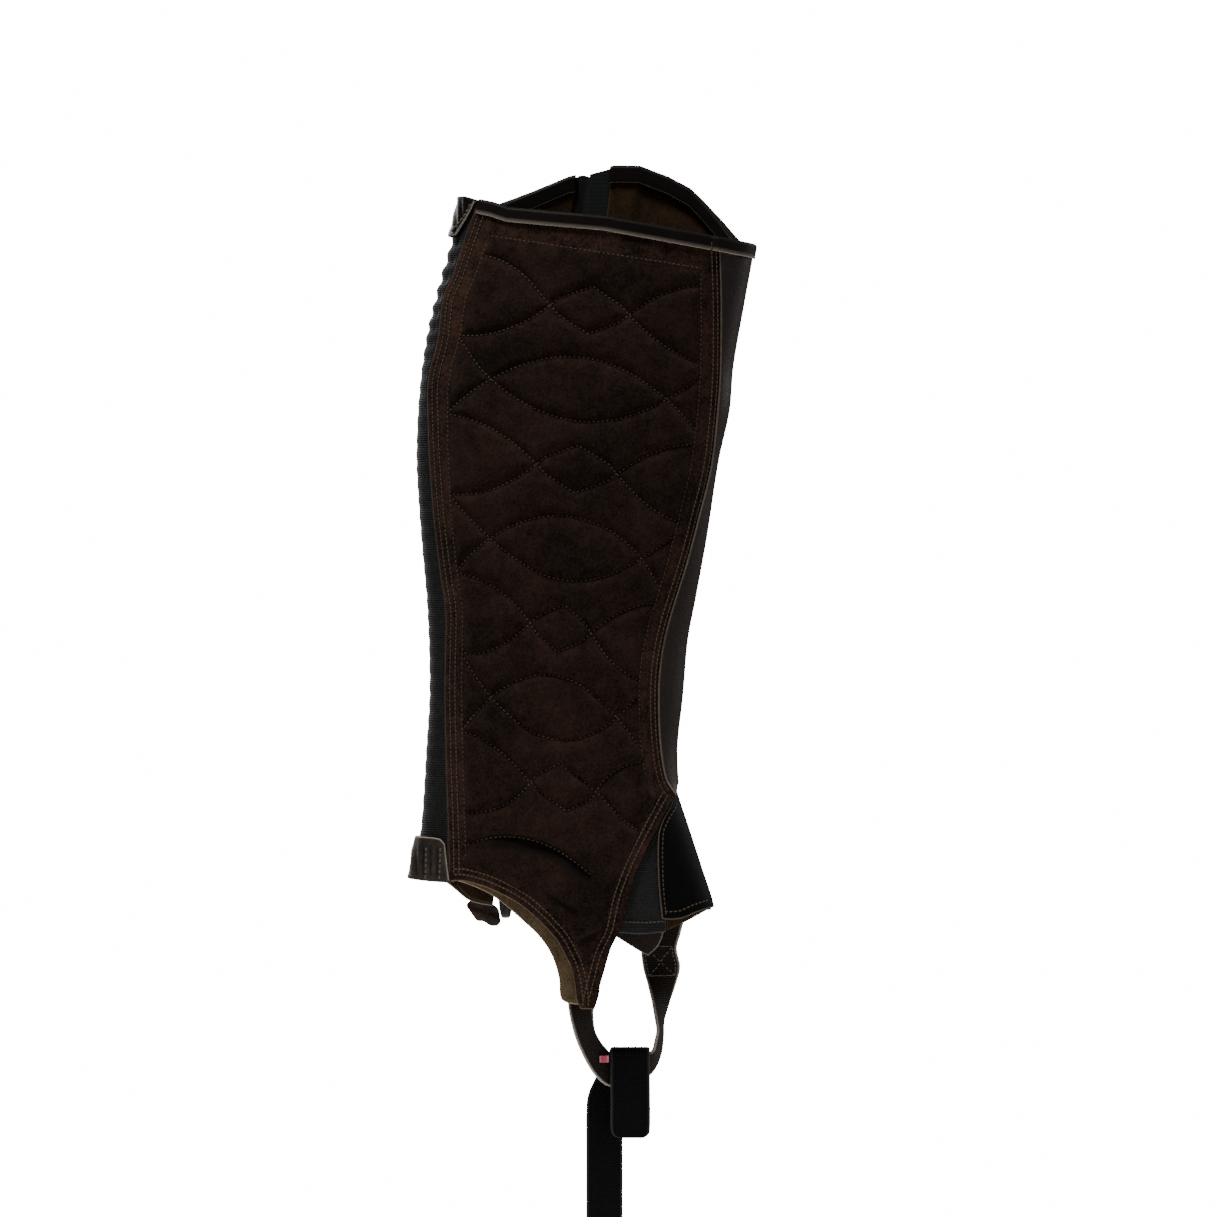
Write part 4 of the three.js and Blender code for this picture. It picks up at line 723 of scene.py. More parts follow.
SHELL_GAP = np.array([14.6, 7.8])  # from the zip's middle to the shell, at the top and the foot
ZIP_ROWS = (2.2, 5.0)  # stitch rows' distances from the edges beside the zip
shell_rear = zip_side(*SHELL_GAP, 370.0)
near_seam = flow(SHELL_SEAM, count=400)
instep = np.c_[
    np.linspace(angle_at(38.5, 306.8, -1), angle_at(40.0, 300.7, 1), 30),
    np.interp(np.linspace(0, 1, 30), [0, 0.5, 1], [306.8, 301.8, 300.7]),
]
shell_foot = np.vstack([instep, flow(VAMP_SEAM, 1)[8:], flow(SHELL_HEM, 1)])
ANKLE_FOLDS = [
    (218, 17.4, -0.57, 34.8, 7.0, 1.9), (244.8, 13.9, -0.69, 31.3, 5.6, 2.1),
    (267.2, 15.7, -0.78, 27.8, 5.2, 1.8), (288.8, 17.4, -0.69, 24.4, 4.8, 1.4),
]  # height, centre across, slope, reach along, width, rise


def shell_folds(angle, down):
    """Sum of the ankle's folds on the outer side, each a ridge that fades along its length, with
    a sharper crease beside it, and a slow waviness of the hide."""
    x = leg(angle, down)[..., 0]
    outer = np.clip(np.sin(angle) * 3, 0, 1)
    height = 0.12 * np.sin(down * 0.045 + angle * 2.3) * np.sin(down * 0.021 - angle)
    for at, middle, slope, reach, width, rise in ANKLE_FOLDS:
        along = (x - middle) / reach
        off = (down - at - slope * (x - middle)) / width
        ridge = np.exp(-2 * along**2 - 0.5 * off**2)
        crease = np.exp(-2 * along**2 - ((off - 1.35) / 0.32) ** 2)
        height = height + outer * (rise * ridge - 0.5 * crease)
    return np.maximum(height, -0.25)


shell_grid = patch(*hung(near_seam, shell_rear, shell_foot), cell=1.25)
lift = shell_folds(shell_grid[0], shell_grid[1])
outer_shell = skin("leather_shell", shell_grid, *(lift + f for f in HIDE_FACES), leather)
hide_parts("outer_shell")


def on_shell(angle, down):
    """Where the shell's stitches lie: just above its leather."""
    return HIDE_FACES[0] + 0.05 + shell_folds(angle, down)


shell_rows = [inset_line(SHELL_SEAM, -w, 0.02, 0.97) for w in (1.9, 4.1)]
shell_rows += [inset_line(VAMP_SEAM, -w, 0.06, 0.96, 1) for w in (2.4, 4.6)]
shell_rows += [inset_line(SHELL_HEM, -3.0, 0.03, 0.98, 1)]
shell_rows += [zip_side(*(SHELL_GAP + w), 366.0)[6:] for w in ZIP_ROWS]
shell_stitches = loops("shell_stitches", shell_rows, on_shell, thread, pitch=2.3)


# Vamp: a second piece of the same leather over the instep, tucked under the shell's curved edge,
# with a raw rear edge on the inner side and a stitched hem.
vamp_top = np.vstack([
    np.c_[[angle_at(38.7, 300.5, -1), 0.0], [300.5, 295.0]],
    flow([
        (38.0, 295.6), (31.2, 298.5), (23.9, 303.2), (17.7, 308.4), (12, 314.1), (8.8, 319.8),
    ], 1),
])
VAMP_EDGE = [(38.7, 300.5), (37.9, 310.2), (32.6, 320), (30.4, 328), (30.4, 350.5), (32.2, 370.5)]
VAMP_HEM = [(32.2, 370.5), (37.4, 370.8), (42.6, 370.2), (50.4, 367.1), (57.6, 365.0)]
vamp_bottom = np.vstack([
    flow(VAMP_HEM),
    flow([(57.6, 365.0), (52, 366.1), (31.2, 367.1), (10.9, 367.6), (5.7, 367.1)], 1),
])
vamp_edges = (
    flow(VAMP_EDGE),
    flow([(8.8, 319.8), (6.8, 327.6), (5.7, 344.8), (5.7, 367.1)], 1),
    vamp_top,
    vamp_bottom,
)
# The vamp's leather is the shell's, drawn near black: painted shade.
vamp_leather = grained(
    "vamp_leather", (3, 3, 3), (10, 9, 9), (116, 104, 90), roughness=0.6, shine=0.12
)
VAMP_FACES = 0.0, -1.4
vamp = skin("leather_vamp", patch(*vamp_edges, cell=1.4), *VAMP_FACES, vamp_leather)
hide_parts("vamp")
vamp_rows = [
    inset_line(VAMP_EDGE, 2.2, 0.2, 0.98),
    inset_line(VAMP_HEM, 4.2, 0.03, 0.99),
    flow([(56, 361), (40, 362.4), (14, 363.2)], 1),
]
vamp_stitches = loops("vamp_stitches", vamp_rows, lambda a, d: 0.05, thread, pitch=2.3)


# Lining of the shell: tan brushed cloth glued behind the leather, in sight inside the raised top.
# Partly the cloth's own tan and partly painted shade: its colours are drawn dark so that the lining
# seen inside the chap reads dark.
tan = napped("tan_lining", (30, 21, 12), (70, 51, 32), (84, 66, 46), strength=0.5)
lining_left = [(67.6, 19.6)] + shifted(PANEL_FRONT, 0.5)[1:-2] + [
    (38.6, 306), (38.0, 315.6), (35.1, 327.6), (35.1, 350), (35.1, 376.5),
]
lining_rear = zip_side(*(SHELL_GAP + 1), 369.0)
lining_bottom = np.vstack([
    flow([(35.1, 376.5), (45.2, 372.1), (57.0, 366)]),
    flow([
        (57.0, 366), (52, 365), (31.2, 366.1), (20.8, 367.6), (8.8, 379.6), (0, 377.5),
        (-20.8, 373.4), (-43.2, 369),
    ], 1),
])
lining_left = flow(lining_left, count=400)
lining_grid = patch(*hung(lining_left, lining_rear, lining_bottom), cell=2.4)


def behind_shell(angle, down):
    """The lining lies a little deeper behind the zip tape and behind the vamp."""
    x = leg(angle, down)[..., 0]
    beside = (np.sin(angle) > 0) * np.clip((zip_x(down) + 32 - x) / 4, 0, 1)
    return -1.7 * np.maximum(beside, np.clip((down - 276) / 8, 0, 1))


SHELL_LINING_FACES = -0.05, -1.0
drop = behind_shell(lining_grid[0], lining_grid[1])
shell_lining = skin(
    "shell_lining_cloth", lining_grid, *(drop + f for f in SHELL_LINING_FACES), tan
)
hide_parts("shell_lining")


# Elastic gusset: black ribbed stretch webbing round the back of the calf, sewn under the suede
# and under the zip facing.
ribs, ribs_in, ribs_out = group(
    "elastic_ribs", {"Pitch": 1.2, "Cord": 0.55}, {"Tone": "Float", "Height": "Float"}
)
split = put(ribs, "SeparateXYZ", {0: put(ribs, "TexCoord").outputs["Object"]}).outputs


TURN = 2 * np.pi


def wave(tree, socket, pitch):
    """Sine of a place in metres over a pitch in millimetres, from 0 to 1."""
    turns = put(tree, "Math", {0: socket, 1: pitch}, operation="DIVIDE").outputs[0]
    swing = put(tree, "Math", {0: turns, 1: 1000 * TURN}, operation="MULTIPLY").outputs[0]
    swing = put(tree, "Math", {0: swing}, operation="SINE").outputs[0]
    return ranged(tree, swing, -1, 1)


wobble = put(
    ribs, "TexNoise", {"Vector": put(ribs, "TexCoord").outputs["Object"], "Scale": 90.0}
).outputs[0]
rib = wave(ribs, sums(ribs, (split[2], 1.0), (wobble, 0.0006)), ribs_in["Pitch"])
cord = wave(ribs, sums(ribs, (split[0], 0.8), (split[1], 0.9)), ribs_in["Cord"])
ribs.links.new(sums(ribs, (rib, 0.5), (cord, 0.2), (wobble, 0.3)), ribs_out.inputs[0])
ribs.links.new(sums(ribs, (rib, 0.8), (cord, 0.2)), ribs_out.inputs[1])


def ribbed(name, dark, light, pitch=1.2, cord=0.55, strength=0.6, raw=0.5):
    """Woven elastic: ribs across it, fine cords along it."""
    made, tree, shader = finish(name, specular_ior_level=0.25, sheen_weight=0.1)
    yarn = put(tree, "Group", node_tree=ribs)
    yarn.inputs["Pitch"].default_value = pitch
    yarn.inputs["Cord"].default_value = cord
    tone = ranged(tree, yarn.outputs["Tone"], 0.2, 0.8)
    colour = blend(tree, tone, paint(*dark), paint(*light))
    colour = blend(tree, sums(tree, (mark(tree, "edge"), raw)), colour, paint(110, 106, 98))
    rough = ranged(tree, tone, 0, 1, 0.9, 0.75)
    wear(tree, shader, colour, rough, yarn.outputs["Height"], strength)
    return made


def beside_fold(inset, foot):
    """Rows of (across, down) at a distance from the rear fold, and a last point at the foot."""
    return [(x + inset, down) for down, x in REAR_FOLD[1:14]] + [foot]


def from_top(rows, start=1):
    """Line on the outer side that runs from the top edge through rows lower than `start`."""
    line = flow(rows, 1)
    return np.vstack([[line[0, 0], top_at(line[:1, 0])[0]], line[line[:, 1] > start]])


elastic = ribbed("black_elastic", (7, 7, 7), (36, 35, 34))
elastic_left = from_top(beside_fold(20.8, (-77, 353.1)), start=0)
elastic_right = flow(shifted(PANEL_REAR, -0.3)[:-1] + [(-79.0, 347.9)], turn=TURN)
elastic_bottom = np.vstack([
    flow([(-77, 353.1), (-82.7, 351), (-96.5, 347.2)], 1),
    flow([(-96.5, 347.2), (-83.2, 346.8), (-79.0, 347.9)], turn=TURN),
])
elastic_grid = patch(*hung(elastic_left, elastic_right, elastic_bottom), cell=1.2)


PUCKER_PITCH = 8.6


def puckers(angle, down, rim):
    """Gathers of the stretched web: a wave down the leg that is deepest just below the top tab
    and dies away towards the seams."""
    deep = 0.55 * np.exp(-(((down - 40) / 34) ** 2)) + 0.16
    swing = 1 - np.cos(down * TURN / PUCKER_PITCH + 0.8 * np.sin(down * 0.09))
    return -deep * swing * np.clip((rim - 1.0) / 4, 0, 1)


ELASTIC_FACES = -0.6, -1.8
dent = puckers(*elastic_grid)
elastic_gusset = skin(
    "elastic_gusset_web", elastic_grid, *(dent + f for f in ELASTIC_FACES), elastic
)
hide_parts("elastic_gusset")


# Ankle gore: the same kind of elastic, finer, let in between the suede and the vamp, with a
# folded and pressed hem.
gore_elastic = ribbed("gore_elastic", (14, 14, 15), (46, 46, 46), pitch=0.9, cord=0.5)
gore_left = flow([(33.8, 318), (29.4, 326), (20.9, 342.7), (14, 360.4), (10, 377.8)])
gore_right = flow([(34.5, 317.2), (34.6, 340), (34.6, 360), (34.5, 377.5)])
gore_edges = (
    gore_left,
    gore_right,
    flow([(33.8, 318), (34.2, 317.6), (34.5, 317.2)]),
    flow([(10, 377.8), (20.8, 378.6), (34.5, 377.5)]),
)
GORE_FACES = -1.7, -2.9
ankle_gore = skin("ankle_gore_web", patch(*gore_edges, cell=1.0), *GORE_FACES, gore_elastic)
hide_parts("ankle_gore")
gore_rows = [flow([(12.5, 371.8), (23, 372.4), (33.8, 371.8)])]
gore_stitches = loops("gore_stitches", gore_rows, lambda a, d: -1.55, thread, 2.0, 0.32, 0.95)


# Zip facing: a leather strip between the elastic and the zip, with its own cloth lining.
FACING_REAR = beside_fold(15.6, (-80.6, 352.6))
FACING_GAP, FACING_LINING_GAP = 4.2, 4.6  # from the zip's middle
FACING_LINING_FACES = -1.1, -2.1
FACING_HEM = [(-56, 365.6), (-62.4, 364.5), (-68.6, 362.4), (-77, 355.4), (-80.6, 352.6)]
facing_right = from_top(FACING_REAR)
facing_left = zip_side(-FACING_GAP, -FACING_GAP, 365.6)
facing_grid = patch(*hung(facing_left, facing_right, flow(FACING_HEM, 1)), cell=1.6)
zip_facing = skin("facing_leather", facing_grid, *HIDE_FACES, leather)
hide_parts("zip_facing")
facing_rows = [zip_side(-FACING_GAP - w, -FACING_GAP - w, 362.0)[6:] for w in ZIP_ROWS]
facing_rows += [inset_line(FACING_REAR, w, 0.03, 0.98, 1) for w in (2.0, 4.4)]
facing_rows += [inset_line(FACING_HEM, -3.0, 0.04, 0.96, 1)]
facing_stitches = loops(
    "facing_stitches", facing_rows, lambda a, d: HIDE_FACES[0] + 0.05, thread, pitch=2.3
)
lining_left = zip_side(-FACING_LINING_GAP, -FACING_LINING_GAP, 364.5)
lining_right = from_top(beside_fold(21.3, (-75.4, 354.6)))
lining_foot = flow([(-56.2, 364.5), (-62.4, 363), (-68.6, 360.9), (-75.4, 354.6)], 1)
lining_grid = patch(*hung(lining_left, lining_right, lining_foot), cell=2.4)
facing_lining = skin("facing_lining_cloth", lining_grid, *FACING_LINING_FACES, tan)
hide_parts("facing_lining")


# Zip: two woven tapes and a coil of plastic teeth between them, closed down to the foot.
COIL_END = 357.8
TAPE_FACES = 0.0, -0.8


def tape(name, near_top, near_foot, far_top, far_foot, node):
    """Woven strip between two lines beside the zip."""
    left, right = zip_side(near_top, near_foot, COIL_END), zip_side(far_top, far_foot, COIL_END)
    grid = patch(*hung(left, right, np.linspace(left[-1], right[-1], 40)), cell=1.5)
    made = skin(name, grid, *TAPE_FACES, zip_cloth)
    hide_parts(node)


zip_cloth = ribbed(
    "zip_tape", (16, 17, 19), (44, 46, 48), pitch=0.7, cord=0.6, strength=0.4, raw=0.0
)
tape("rear_tape", -2.9, -2.9, -11.4, -9.4, "zip_tape_rear")
tape("front_tape", *(SHELL_GAP + 7), 2.9, 2.9, "zip_tape_front")

teeth = mottled(
    "zip_teeth", paint(14, 14, 15), paint(34, 34, 35), 700, (0, 1, 0.35, 0.5), 0.1,
    specular_ior_level=0.5,
)
COIL_RINGS, COIL_SIDES = 1900, 22
TOOTH_PITCH = 1.5
COIL_HALF_WIDTH = 3.0


def coil_surface():
    """Closed bar along the zip. Its section is a flattened half ellipse, and its height rises and
    falls once a tooth, half a tooth out of step between the two sides."""
    line = zip_side(0, 0, COIL_END, count=500)
    line = spread(line, np.linspace(0, 1, COIL_RINGS))
    turn = np.linspace(0, TURN, COIL_SIDES, endpoint=False)
    run = np.linspace(0, length_of(line), len(line))[:, None]
    side = signed_power(np.cos(turn), 0.7)
    phase = TURN * run / TOOTH_PITCH + np.where(side > 0, 0, np.pi)
    ridge = 0.5 + 0.5 * np.cos(phase)
    out = np.sin(turn) * np.where(np.sin(turn) > 0, 0.55 + 0.35 * ridge, 1.0)
    wide = COIL_HALF_WIDTH * side * (1 + 0.05 * ridge)
    closed = np.clip(np.minimum(run, run[-1] - run) / 0.6, 0.05, 1) ** 0.5
    place, normal = leg(line[:, 0], line[:, 1]), outward(line[:, 0], line[:, 1])
    along = np.gradient(place, axis=0)
    beside = np.cross(normal, along / np.linalg.norm(along, axis=1, keepdims=True))
    points = place[:, None] + beside[:, None] * (wide * closed)[..., None]
    return points + normal[:, None] * (out * closed - 0.1)[..., None]


def tube_faces(rows, columns):
    """Faces of a closed loop of points carried along a path, with its two ends filled."""
    at = np.arange(rows * columns).reshape(rows, columns)
    nxt = np.roll(at, -1, axis=1)
    faces = np.stack([at[:-1], nxt[:-1], nxt[1:], at[1:]], -1).reshape(-1, 4)
    i = np.arange(columns // 2 - 1)
    pairs = np.stack([i, i + 1, columns - 2 - i, columns - 1 - i], -1)
    return np.concatenate([faces, pairs[:, ::-1], pairs + (rows - 1) * columns])


coil_faces = tube_faces(COIL_RINGS, COIL_SIDES)
zip_coil = piece("zip_teeth_coil", coil_surface().reshape(-1, 3), coil_faces, teeth)
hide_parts("zip_coil")


# Zip slider and pull: a small cast slider, and a doubled leather tab hanging crumpled from it.
SLIDER = np.array([(-3.9, 6.6), (3.9, 6.6), (3.4, -1), (2.2, -6.4), (-2.2, -6.4), (-3.4, -1)])
PULL = np.array([
    (-70.5, 365), (-66.8, 361.9), (-61.9, 364), (-57.7, 363), (-52.5, 367.1), (-51.5, 374.9),
    (-53.6, 376.5), (-57.3, 376.3), (-61.4, 373.4), (-64, 374.1),
])
SLIDER_AT = np.array([-49.4, 365.6])
slider_angle = angle_at(SLIDER_AT[0], SLIDER_AT[1], 1)
slider_out = outward(slider_angle, SLIDER_AT[1]) * (1, 1, 0)
slider_out /= np.linalg.norm(slider_out)
slider_beside = np.array([slider_out[1], -slider_out[0], 0])


def rounded_outline(corners, count, rounding):
    """Closed outline with its corners rounded: a running mean of evenly spaced points."""
    loop = np.vstack([corners, corners[:1]])
    s = np.r_[0, np.cumsum(np.hypot(*np.diff(loop, axis=0).T))]
    at = np.linspace(0, s[-1], count, endpoint=False)
    p = np.stack([np.interp(at, s, loop[:, k]) for k in (0, 1)], -1)
    return sum(np.roll(p, k, axis=0) for k in range(-rounding, rounding + 1)) / (2 * rounding + 1)


def pebble(name, outline, levels, material, rumple=None):
    """Solid beside the zip: a ring of the outline for each (offset, shrink), shrunk about its
    middle and set off the leather; `rumple` gives how far each point of a ring moves out."""
    centre, hub = outline.mean(0), leg(slider_angle, SLIDER_AT[1])
    rings = []
    for offset, shrink in levels:
        ring = centre + (outline - centre) * shrink
        out = offset + (np.zeros(len(ring)) if rumple is None else rumple(ring))
        flat = hub + ring[:, :1] * slider_beside + ring[:, 1:] * np.array([0, 0, 1])
        rings.append(flat + out[:, None] * slider_out)
    faces = tube_faces(len(levels), len(outline))
    return piece(name, np.concatenate(rings), faces, material, edge=0.0)


steel = mottled(
    "slider_metal", paint(70, 68, 66), paint(120, 117, 112), 400, (0.3, 0.7, 0.3, 0.5), 0.15,
    detail=4.0, metallic=1.0,
)
slider_outline = rounded_outline(SLIDER, 60, 2)
zip_slider = pebble(
    "slider_body",
    slider_outline,
    [(-1.5, 0.02), (-1.55, 0.8), (-1.3, 0.97), (-0.6, 1), (-0.35, 0.86), (0.35, 0.86), (0.6, 1),
     (1.1, 1), (1.4, 0.93), (1.6, 0.75), (1.62, 0.4), (2.2, 0.34), (2.5, 0.2), (2.55, 0.02)],
    steel,
)
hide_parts("zip_slider")
pull_leather = grained("pull_leather", (40, 28, 21), (78, 60, 48), RAW_EDGE, roughness=0.6)
pull_outline = rounded_outline((PULL - SLIDER_AT) * (1, -1), 96, 3)


def crumple(ring):
    """Two slanting waves over the pull."""
    return 0.5 * np.sin(ring[:, 0] * 0.7) + 0.35 * np.sin(ring[:, 1] * 0.9 + ring[:, 0] * 0.3)


zip_pull = pebble(
    "leather_pull",
    pull_outline,
    [(2.9, 0.02), (2.85, 0.5), (2.8, 0.9), (3.1, 0.98), (4.0, 0.94), (4.3, 0.86), (4.6, 0.96),
     (5.2, 0.97), (5.5, 0.9), (5.55, 0.5), (5.5, 0.02)],
    pull_leather,
    crumple,
)
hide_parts("zip_pull")


# Top binding: a strip of thin leather folded over the top edge and sewn through, its raw lower
# edge pale. A second strip binds the facing.
def bound(name, start, end, over, under, material, node):
    """Closed strip carried along the top edge: its section goes up the outside, round the edge,
    down the inside and back along its own inner face."""
    angle = np.linspace(start, end, int(abs(end - start) * 70))
    edge = top_at(angle, 0.0)
    front, back = over(angle, edge)[:, None], under(angle, edge)[:, None]
    middle, half = (front + back) / 2, (front - back) / 2
    fold = np.linspace(0, np.pi, 13)
    turned = fold[::-1]
    thick = np.array([0.75, 0.95, 1.0, 1.0, 1.02, 1.0])
    section = [  # distance out, and distance below the edge
        (front + thick, [7.8, 7.7, 7.2, 5.5, 3.5, 2.2]),
        (middle + (half + 1.0) * np.cos(fold), 1.5 * (1 - np.sin(fold)) + 0.05),
        (back - thick[::-1], [2.2, 4, 6.5, 8.7, 9.1, 9.2]),
        (back - 0.2, [9.1, 7, 5, 3]),
        (middle + (half - 0.1) * np.cos(turned) * 0.9, 1.2 * (1 - np.sin(turned)) + 1.2),
        (front + 0.2, [3, 5, 7, 7.7]),
    ]
    out = np.concatenate([np.broadcast_to(o, (len(angle), len(d))) for o, d in section], 1)
    down = np.concatenate([d for _, d in section]) + edge[:, None]
    wide = np.broadcast_to(angle[:, None], out.shape)
    points = leg(wide, down) + outward(wide, down) * out[..., None]
    inner_cut = len(fold) + 2 * len(thick) - 1
    cut = np.zeros(out.shape)
    cut[:, [0, 1, 2, -1]] = 1, 1, 0.35, 1
    cut[:, [inner_cut - 1, inner_cut]] = 0.9, 1
    made = piece(
        name, points.reshape(-1, 3), tube_faces(*out.shape)[:, ::-1], material, edge=cut.ravel()
    )
    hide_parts(node)


edge_leather = grained(
    "edge_leather", (15, 10, 8), (29, 21, 17), (206, 192, 172), roughness=0.5, shine=0.2
)


def over_edge(angle, down):
    """The strip lies on the suede, and rises onto the shell at its seam."""
    x = leg(angle, down)[..., 0]
    return 0.3 + 1.8 * np.clip(np.where(np.sin(angle) < 0, (x - 57.5) / 3.5, 1), 0, 1)


def under_edge(angle, down):
    """The strip lies on the lining, which stands less deep past the shin."""
    x = leg(angle, down)[..., 0]
    return -4.1 + 1.1 * np.clip(np.where(np.sin(angle) < 0, (x - 71) / 4, 1), 0, 1)


binding_start, binding_end = angle_at(-62.4, -2.5, -1), angle_at(5.2, -22, 1)
bound(
    "binding_strip", binding_start, binding_end, over_edge, under_edge, edge_leather, "top_binding"
)
bound(
    "facing_binding_strip",
    angle_at(-12.7, -17.5, 1),
    angle_at(-57.4, -1.2, 1),
    lambda a, d: 2.1 + 0 * a,
    lambda a, d: -2.4 + 0 * a,
    edge_leather,
    "facing_binding",
)


# Two leather tabs that close the ends of the elastic, the foot one pressed into ridges.
tab_leather = grained(
    "tab_leather", (34, 27, 22), (84, 71, 59), (186, 172, 152), roughness=0.6, strength=0.6
)


TAB_FRONT, TAB_BACK, TAB_FOLDED_BACK = 1.9, 0.3, -2.9
RIDGE_DEPTH = 0.55


def tab(name, edges, hem, relief, node, hide):
    """Leaf over the elastic whose hem side is folded in under it."""
    grid = patch(*edges, cell=0.8)
    down = grid[1]
    folded = np.abs(down - (down[:1] if hem == "top" else down[-1:])) < 1.3
    under = np.where(folded, TAB_FOLDED_BACK, TAB_BACK)
    height = relief(*grid)
    # Painted shade in the valleys between the ridges: the deeper the valley, the darker.
    groove = np.clip(-height / RIDGE_DEPTH, 0, 1) ** 2
    made = skin(name, grid, TAB_FRONT + height, under, hide, raw=~folded, groove=groove)
    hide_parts(node)


top_tab_left = flow([(-58.5, -1.9), (-60.8, 7.8), (-67.6, 17.2)], 1)
top_tab_right = flow([(-63.6, -2.0), (-68, 6.5), (-74.1, 16.4)], turn=TURN)
tab(
    "top_tab_leaf",
    hung(
        top_tab_left, top_tab_right, np.linspace(top_tab_left[-1], top_tab_right[-1], 60), drop=0.0
    ),
    "top",
    lambda a, d, rim: -0.25 * (1 + np.cos(leg(a, d)[..., 0] * 2.4)) * np.clip(rim - 0.8, 0, 1),
    "top_tab",
    edge_leather,
)
foot_tab_left = flow([(-81.6, 331.8), (-81.5, 341), (-81.4, 352)], 1)
foot_tab_right = flow([(-79.9, 331.7), (-78.8, 341.6), (-77.5, 351.8)], turn=TURN)
foot_tab_top = np.vstack([
    flow([(-81.6, 331.8), (-88.4, 328.6), (-94, 328.1)], 1),
    flow([(-94, 328.1), (-82.8, 329.0), (-79.9, 331.7)], turn=TURN),
])
foot_tab_bottom = np.vstack([
    flow([(-81.4, 352), (-88.4, 351.2), (-97, 350.4)], 1),
    flow([(-97, 350.4), (-88.4, 351.2), (-77.5, 351.8)], turn=TURN),
])


RIDGE_PITCH = 3.5


def ridges(angle, down, rim):
    """Upright ridges: a wave across the tab that fades to its rim."""
    x = leg(angle, down)[..., 0]
    wavy = 0.45 * np.cos((x + 85.4) * TURN / RIDGE_PITCH) - 0.15
    return wavy * np.clip((rim - 1.6) / 1.5, 0, 1) * np.clip((down - 331) / 4, 0, 1)


tab(
    "foot_tab_leaf",
    (foot_tab_left, foot_tab_right, foot_tab_top, foot_tab_bottom),
    "foot",
    ridges,
    "foot_tab",
    tab_leather,
)
tab_rows = [
    flow([(x, 333.5), (x - 0.3, 342), (x - 0.6, 350.2)], turn=TURN) for x in (-88.7, -81.7)
]
tab_rows += [flow([(-65.8, 0.5), (-69.5, 7.5), (-75.6, 14.8)], turn=TURN)]
pale_thread = mottled(
    "pale_thread", paint(84, 73, 64), paint(140, 126, 112), 1800, (0, 1, 0.6, 0.8), 0.4,
    specular_ior_level=0.3,
)
tab_stitches = loops(
    "tab_stitches", tab_rows, lambda a, d: 2.1, pale_thread, pitch=2.6, thread=0.42
)


# Anchor tongue: a pointed leather flap inside the outer side, sewn over the strap's upper end.
tongue_edges = (
    flow([(35.4, 361.4), (35.4, 377), (32.2, 385.8), (26.5, 391.3)], 1),
    flow([(3.6, 361.4), (4.6, 371), (5.7, 380.1)], 1),
    flow([(35.4, 361.4), (20, 361.4), (3.6, 361.4)], 1),
    flow([(26.5, 391.3), (21.8, 389), (8.8, 381.4), (5.7, 380.1)], 1),
)
TONGUE_FACES = -5.8, -7.3
anchor_tongue = skin("tongue_leather", patch(*tongue_edges, cell=1.0), *TONGUE_FACES, leather)
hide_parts("anchor_tongue")


# Foot strap: flat elastic that passes under the boot, from behind the suede point up to the
# outer side, where a stitched box holds it.
FOOT_STRAP = np.array([  # across, down and depth of one edge, then of the other
    (-16.6, 406.1, -9.6, -4.2, 406.1, -9.9), (-16.6, 415, -10.2, -3.1, 413.9, -9.4),
    (-15.1, 423.8, -12.5, -3.4, 420.7, -8), (-12, 434.2, -13.5, -2.6, 429, -4),
    (-6.8, 445.6, -10, 0.5, 435.2, -1.5), (-1.6, 453.4, -5, 2.9, 438.1, -0.3),
    (4.4, 458.1, -1, 6, 440.9, 0), (13.5, 459.2, 0.2, 14.6, 441.2, 0.4),
    (21.3, 456.6, 0.8, 22.4, 441.2, 0.4), (28.1, 450.3, 7.5, 27.3, 439.4, 1),
    (31.7, 442, 15, 28.9, 434.2, 1.5), (32.8, 433.2, 18, 29.9, 429, 2.5),
    (33.3, 424.8, 19, 29.1, 424.3, 4.5), (36.4, 415.5, 19.2, 27.3, 416, 9),
    (40, 405.1, 19, 24.7, 405.6, 16), (41.9, 396.8, 18.8, 22.4, 397.3, 21.3),
])


def on_outer(x, down, offset):
    """Point at a distance off the outer side."""
    angle = angle_at(x, down, 1)
    return leg(angle, down) + outward(angle, down) * offset


def ribbon(name, a, b, thickness, material, node, along=420, across=26):
    """Flat strap between two edge lines, whose section is a flat loop with rounded sides. Gives
    back its middle line, its facing and the way from one edge to the other."""
    s, at = np.arange(len(a)), np.linspace(0, len(a) - 1, along)
    a, b = (np.stack([through(np.c_[s, e[:, k]], at) for k in range(3)], -1) for e in (a, b))
    run = np.gradient((a + b) / 2, axis=0)
    normal = np.cross(run, b - a)
    normal /= np.linalg.norm(normal, axis=1, keepdims=True)
    v = np.linspace(0, 1, across)
    width = np.linalg.norm(b - a, axis=1)[:, None]
    side = np.minimum(v, 1 - v)[None] * width
    tuck = np.interp(side, [0, 0.2, 0.5, 0.9], [0.25, 0.75, 0.96, 1])
    off = (tuck * thickness / 2)[..., None] * normal[:, None]
    flat = a[:, None] * (1 - v)[None, :, None] + b[:, None] * v[None, :, None]
    loop = np.concatenate([flat + off, (flat - off)[:, ::-1]], 1)
    run_mm = np.r_[0, np.cumsum(np.linalg.norm(np.diff((a + b) / 2, axis=0), axis=1))]
    cross_mm = np.r_[v, v[::-1]][None] * width
    rim = np.interp(np.concatenate([side, side[:, ::-1]], 1), [0.4, 1.3], [1, 0])
    faces = tube_faces(along, 2 * across)
    made = piece(
        name,
        loop.reshape(-1, 3),
        faces[:, ::-1],
        material,
        edge=rim.ravel(),
        run=np.repeat(run_mm, 2 * across),
        cross=(cross_mm + 0 * rim).ravel(),
    )
    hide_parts(node)
    return (a + b) / 2, normal, b - a


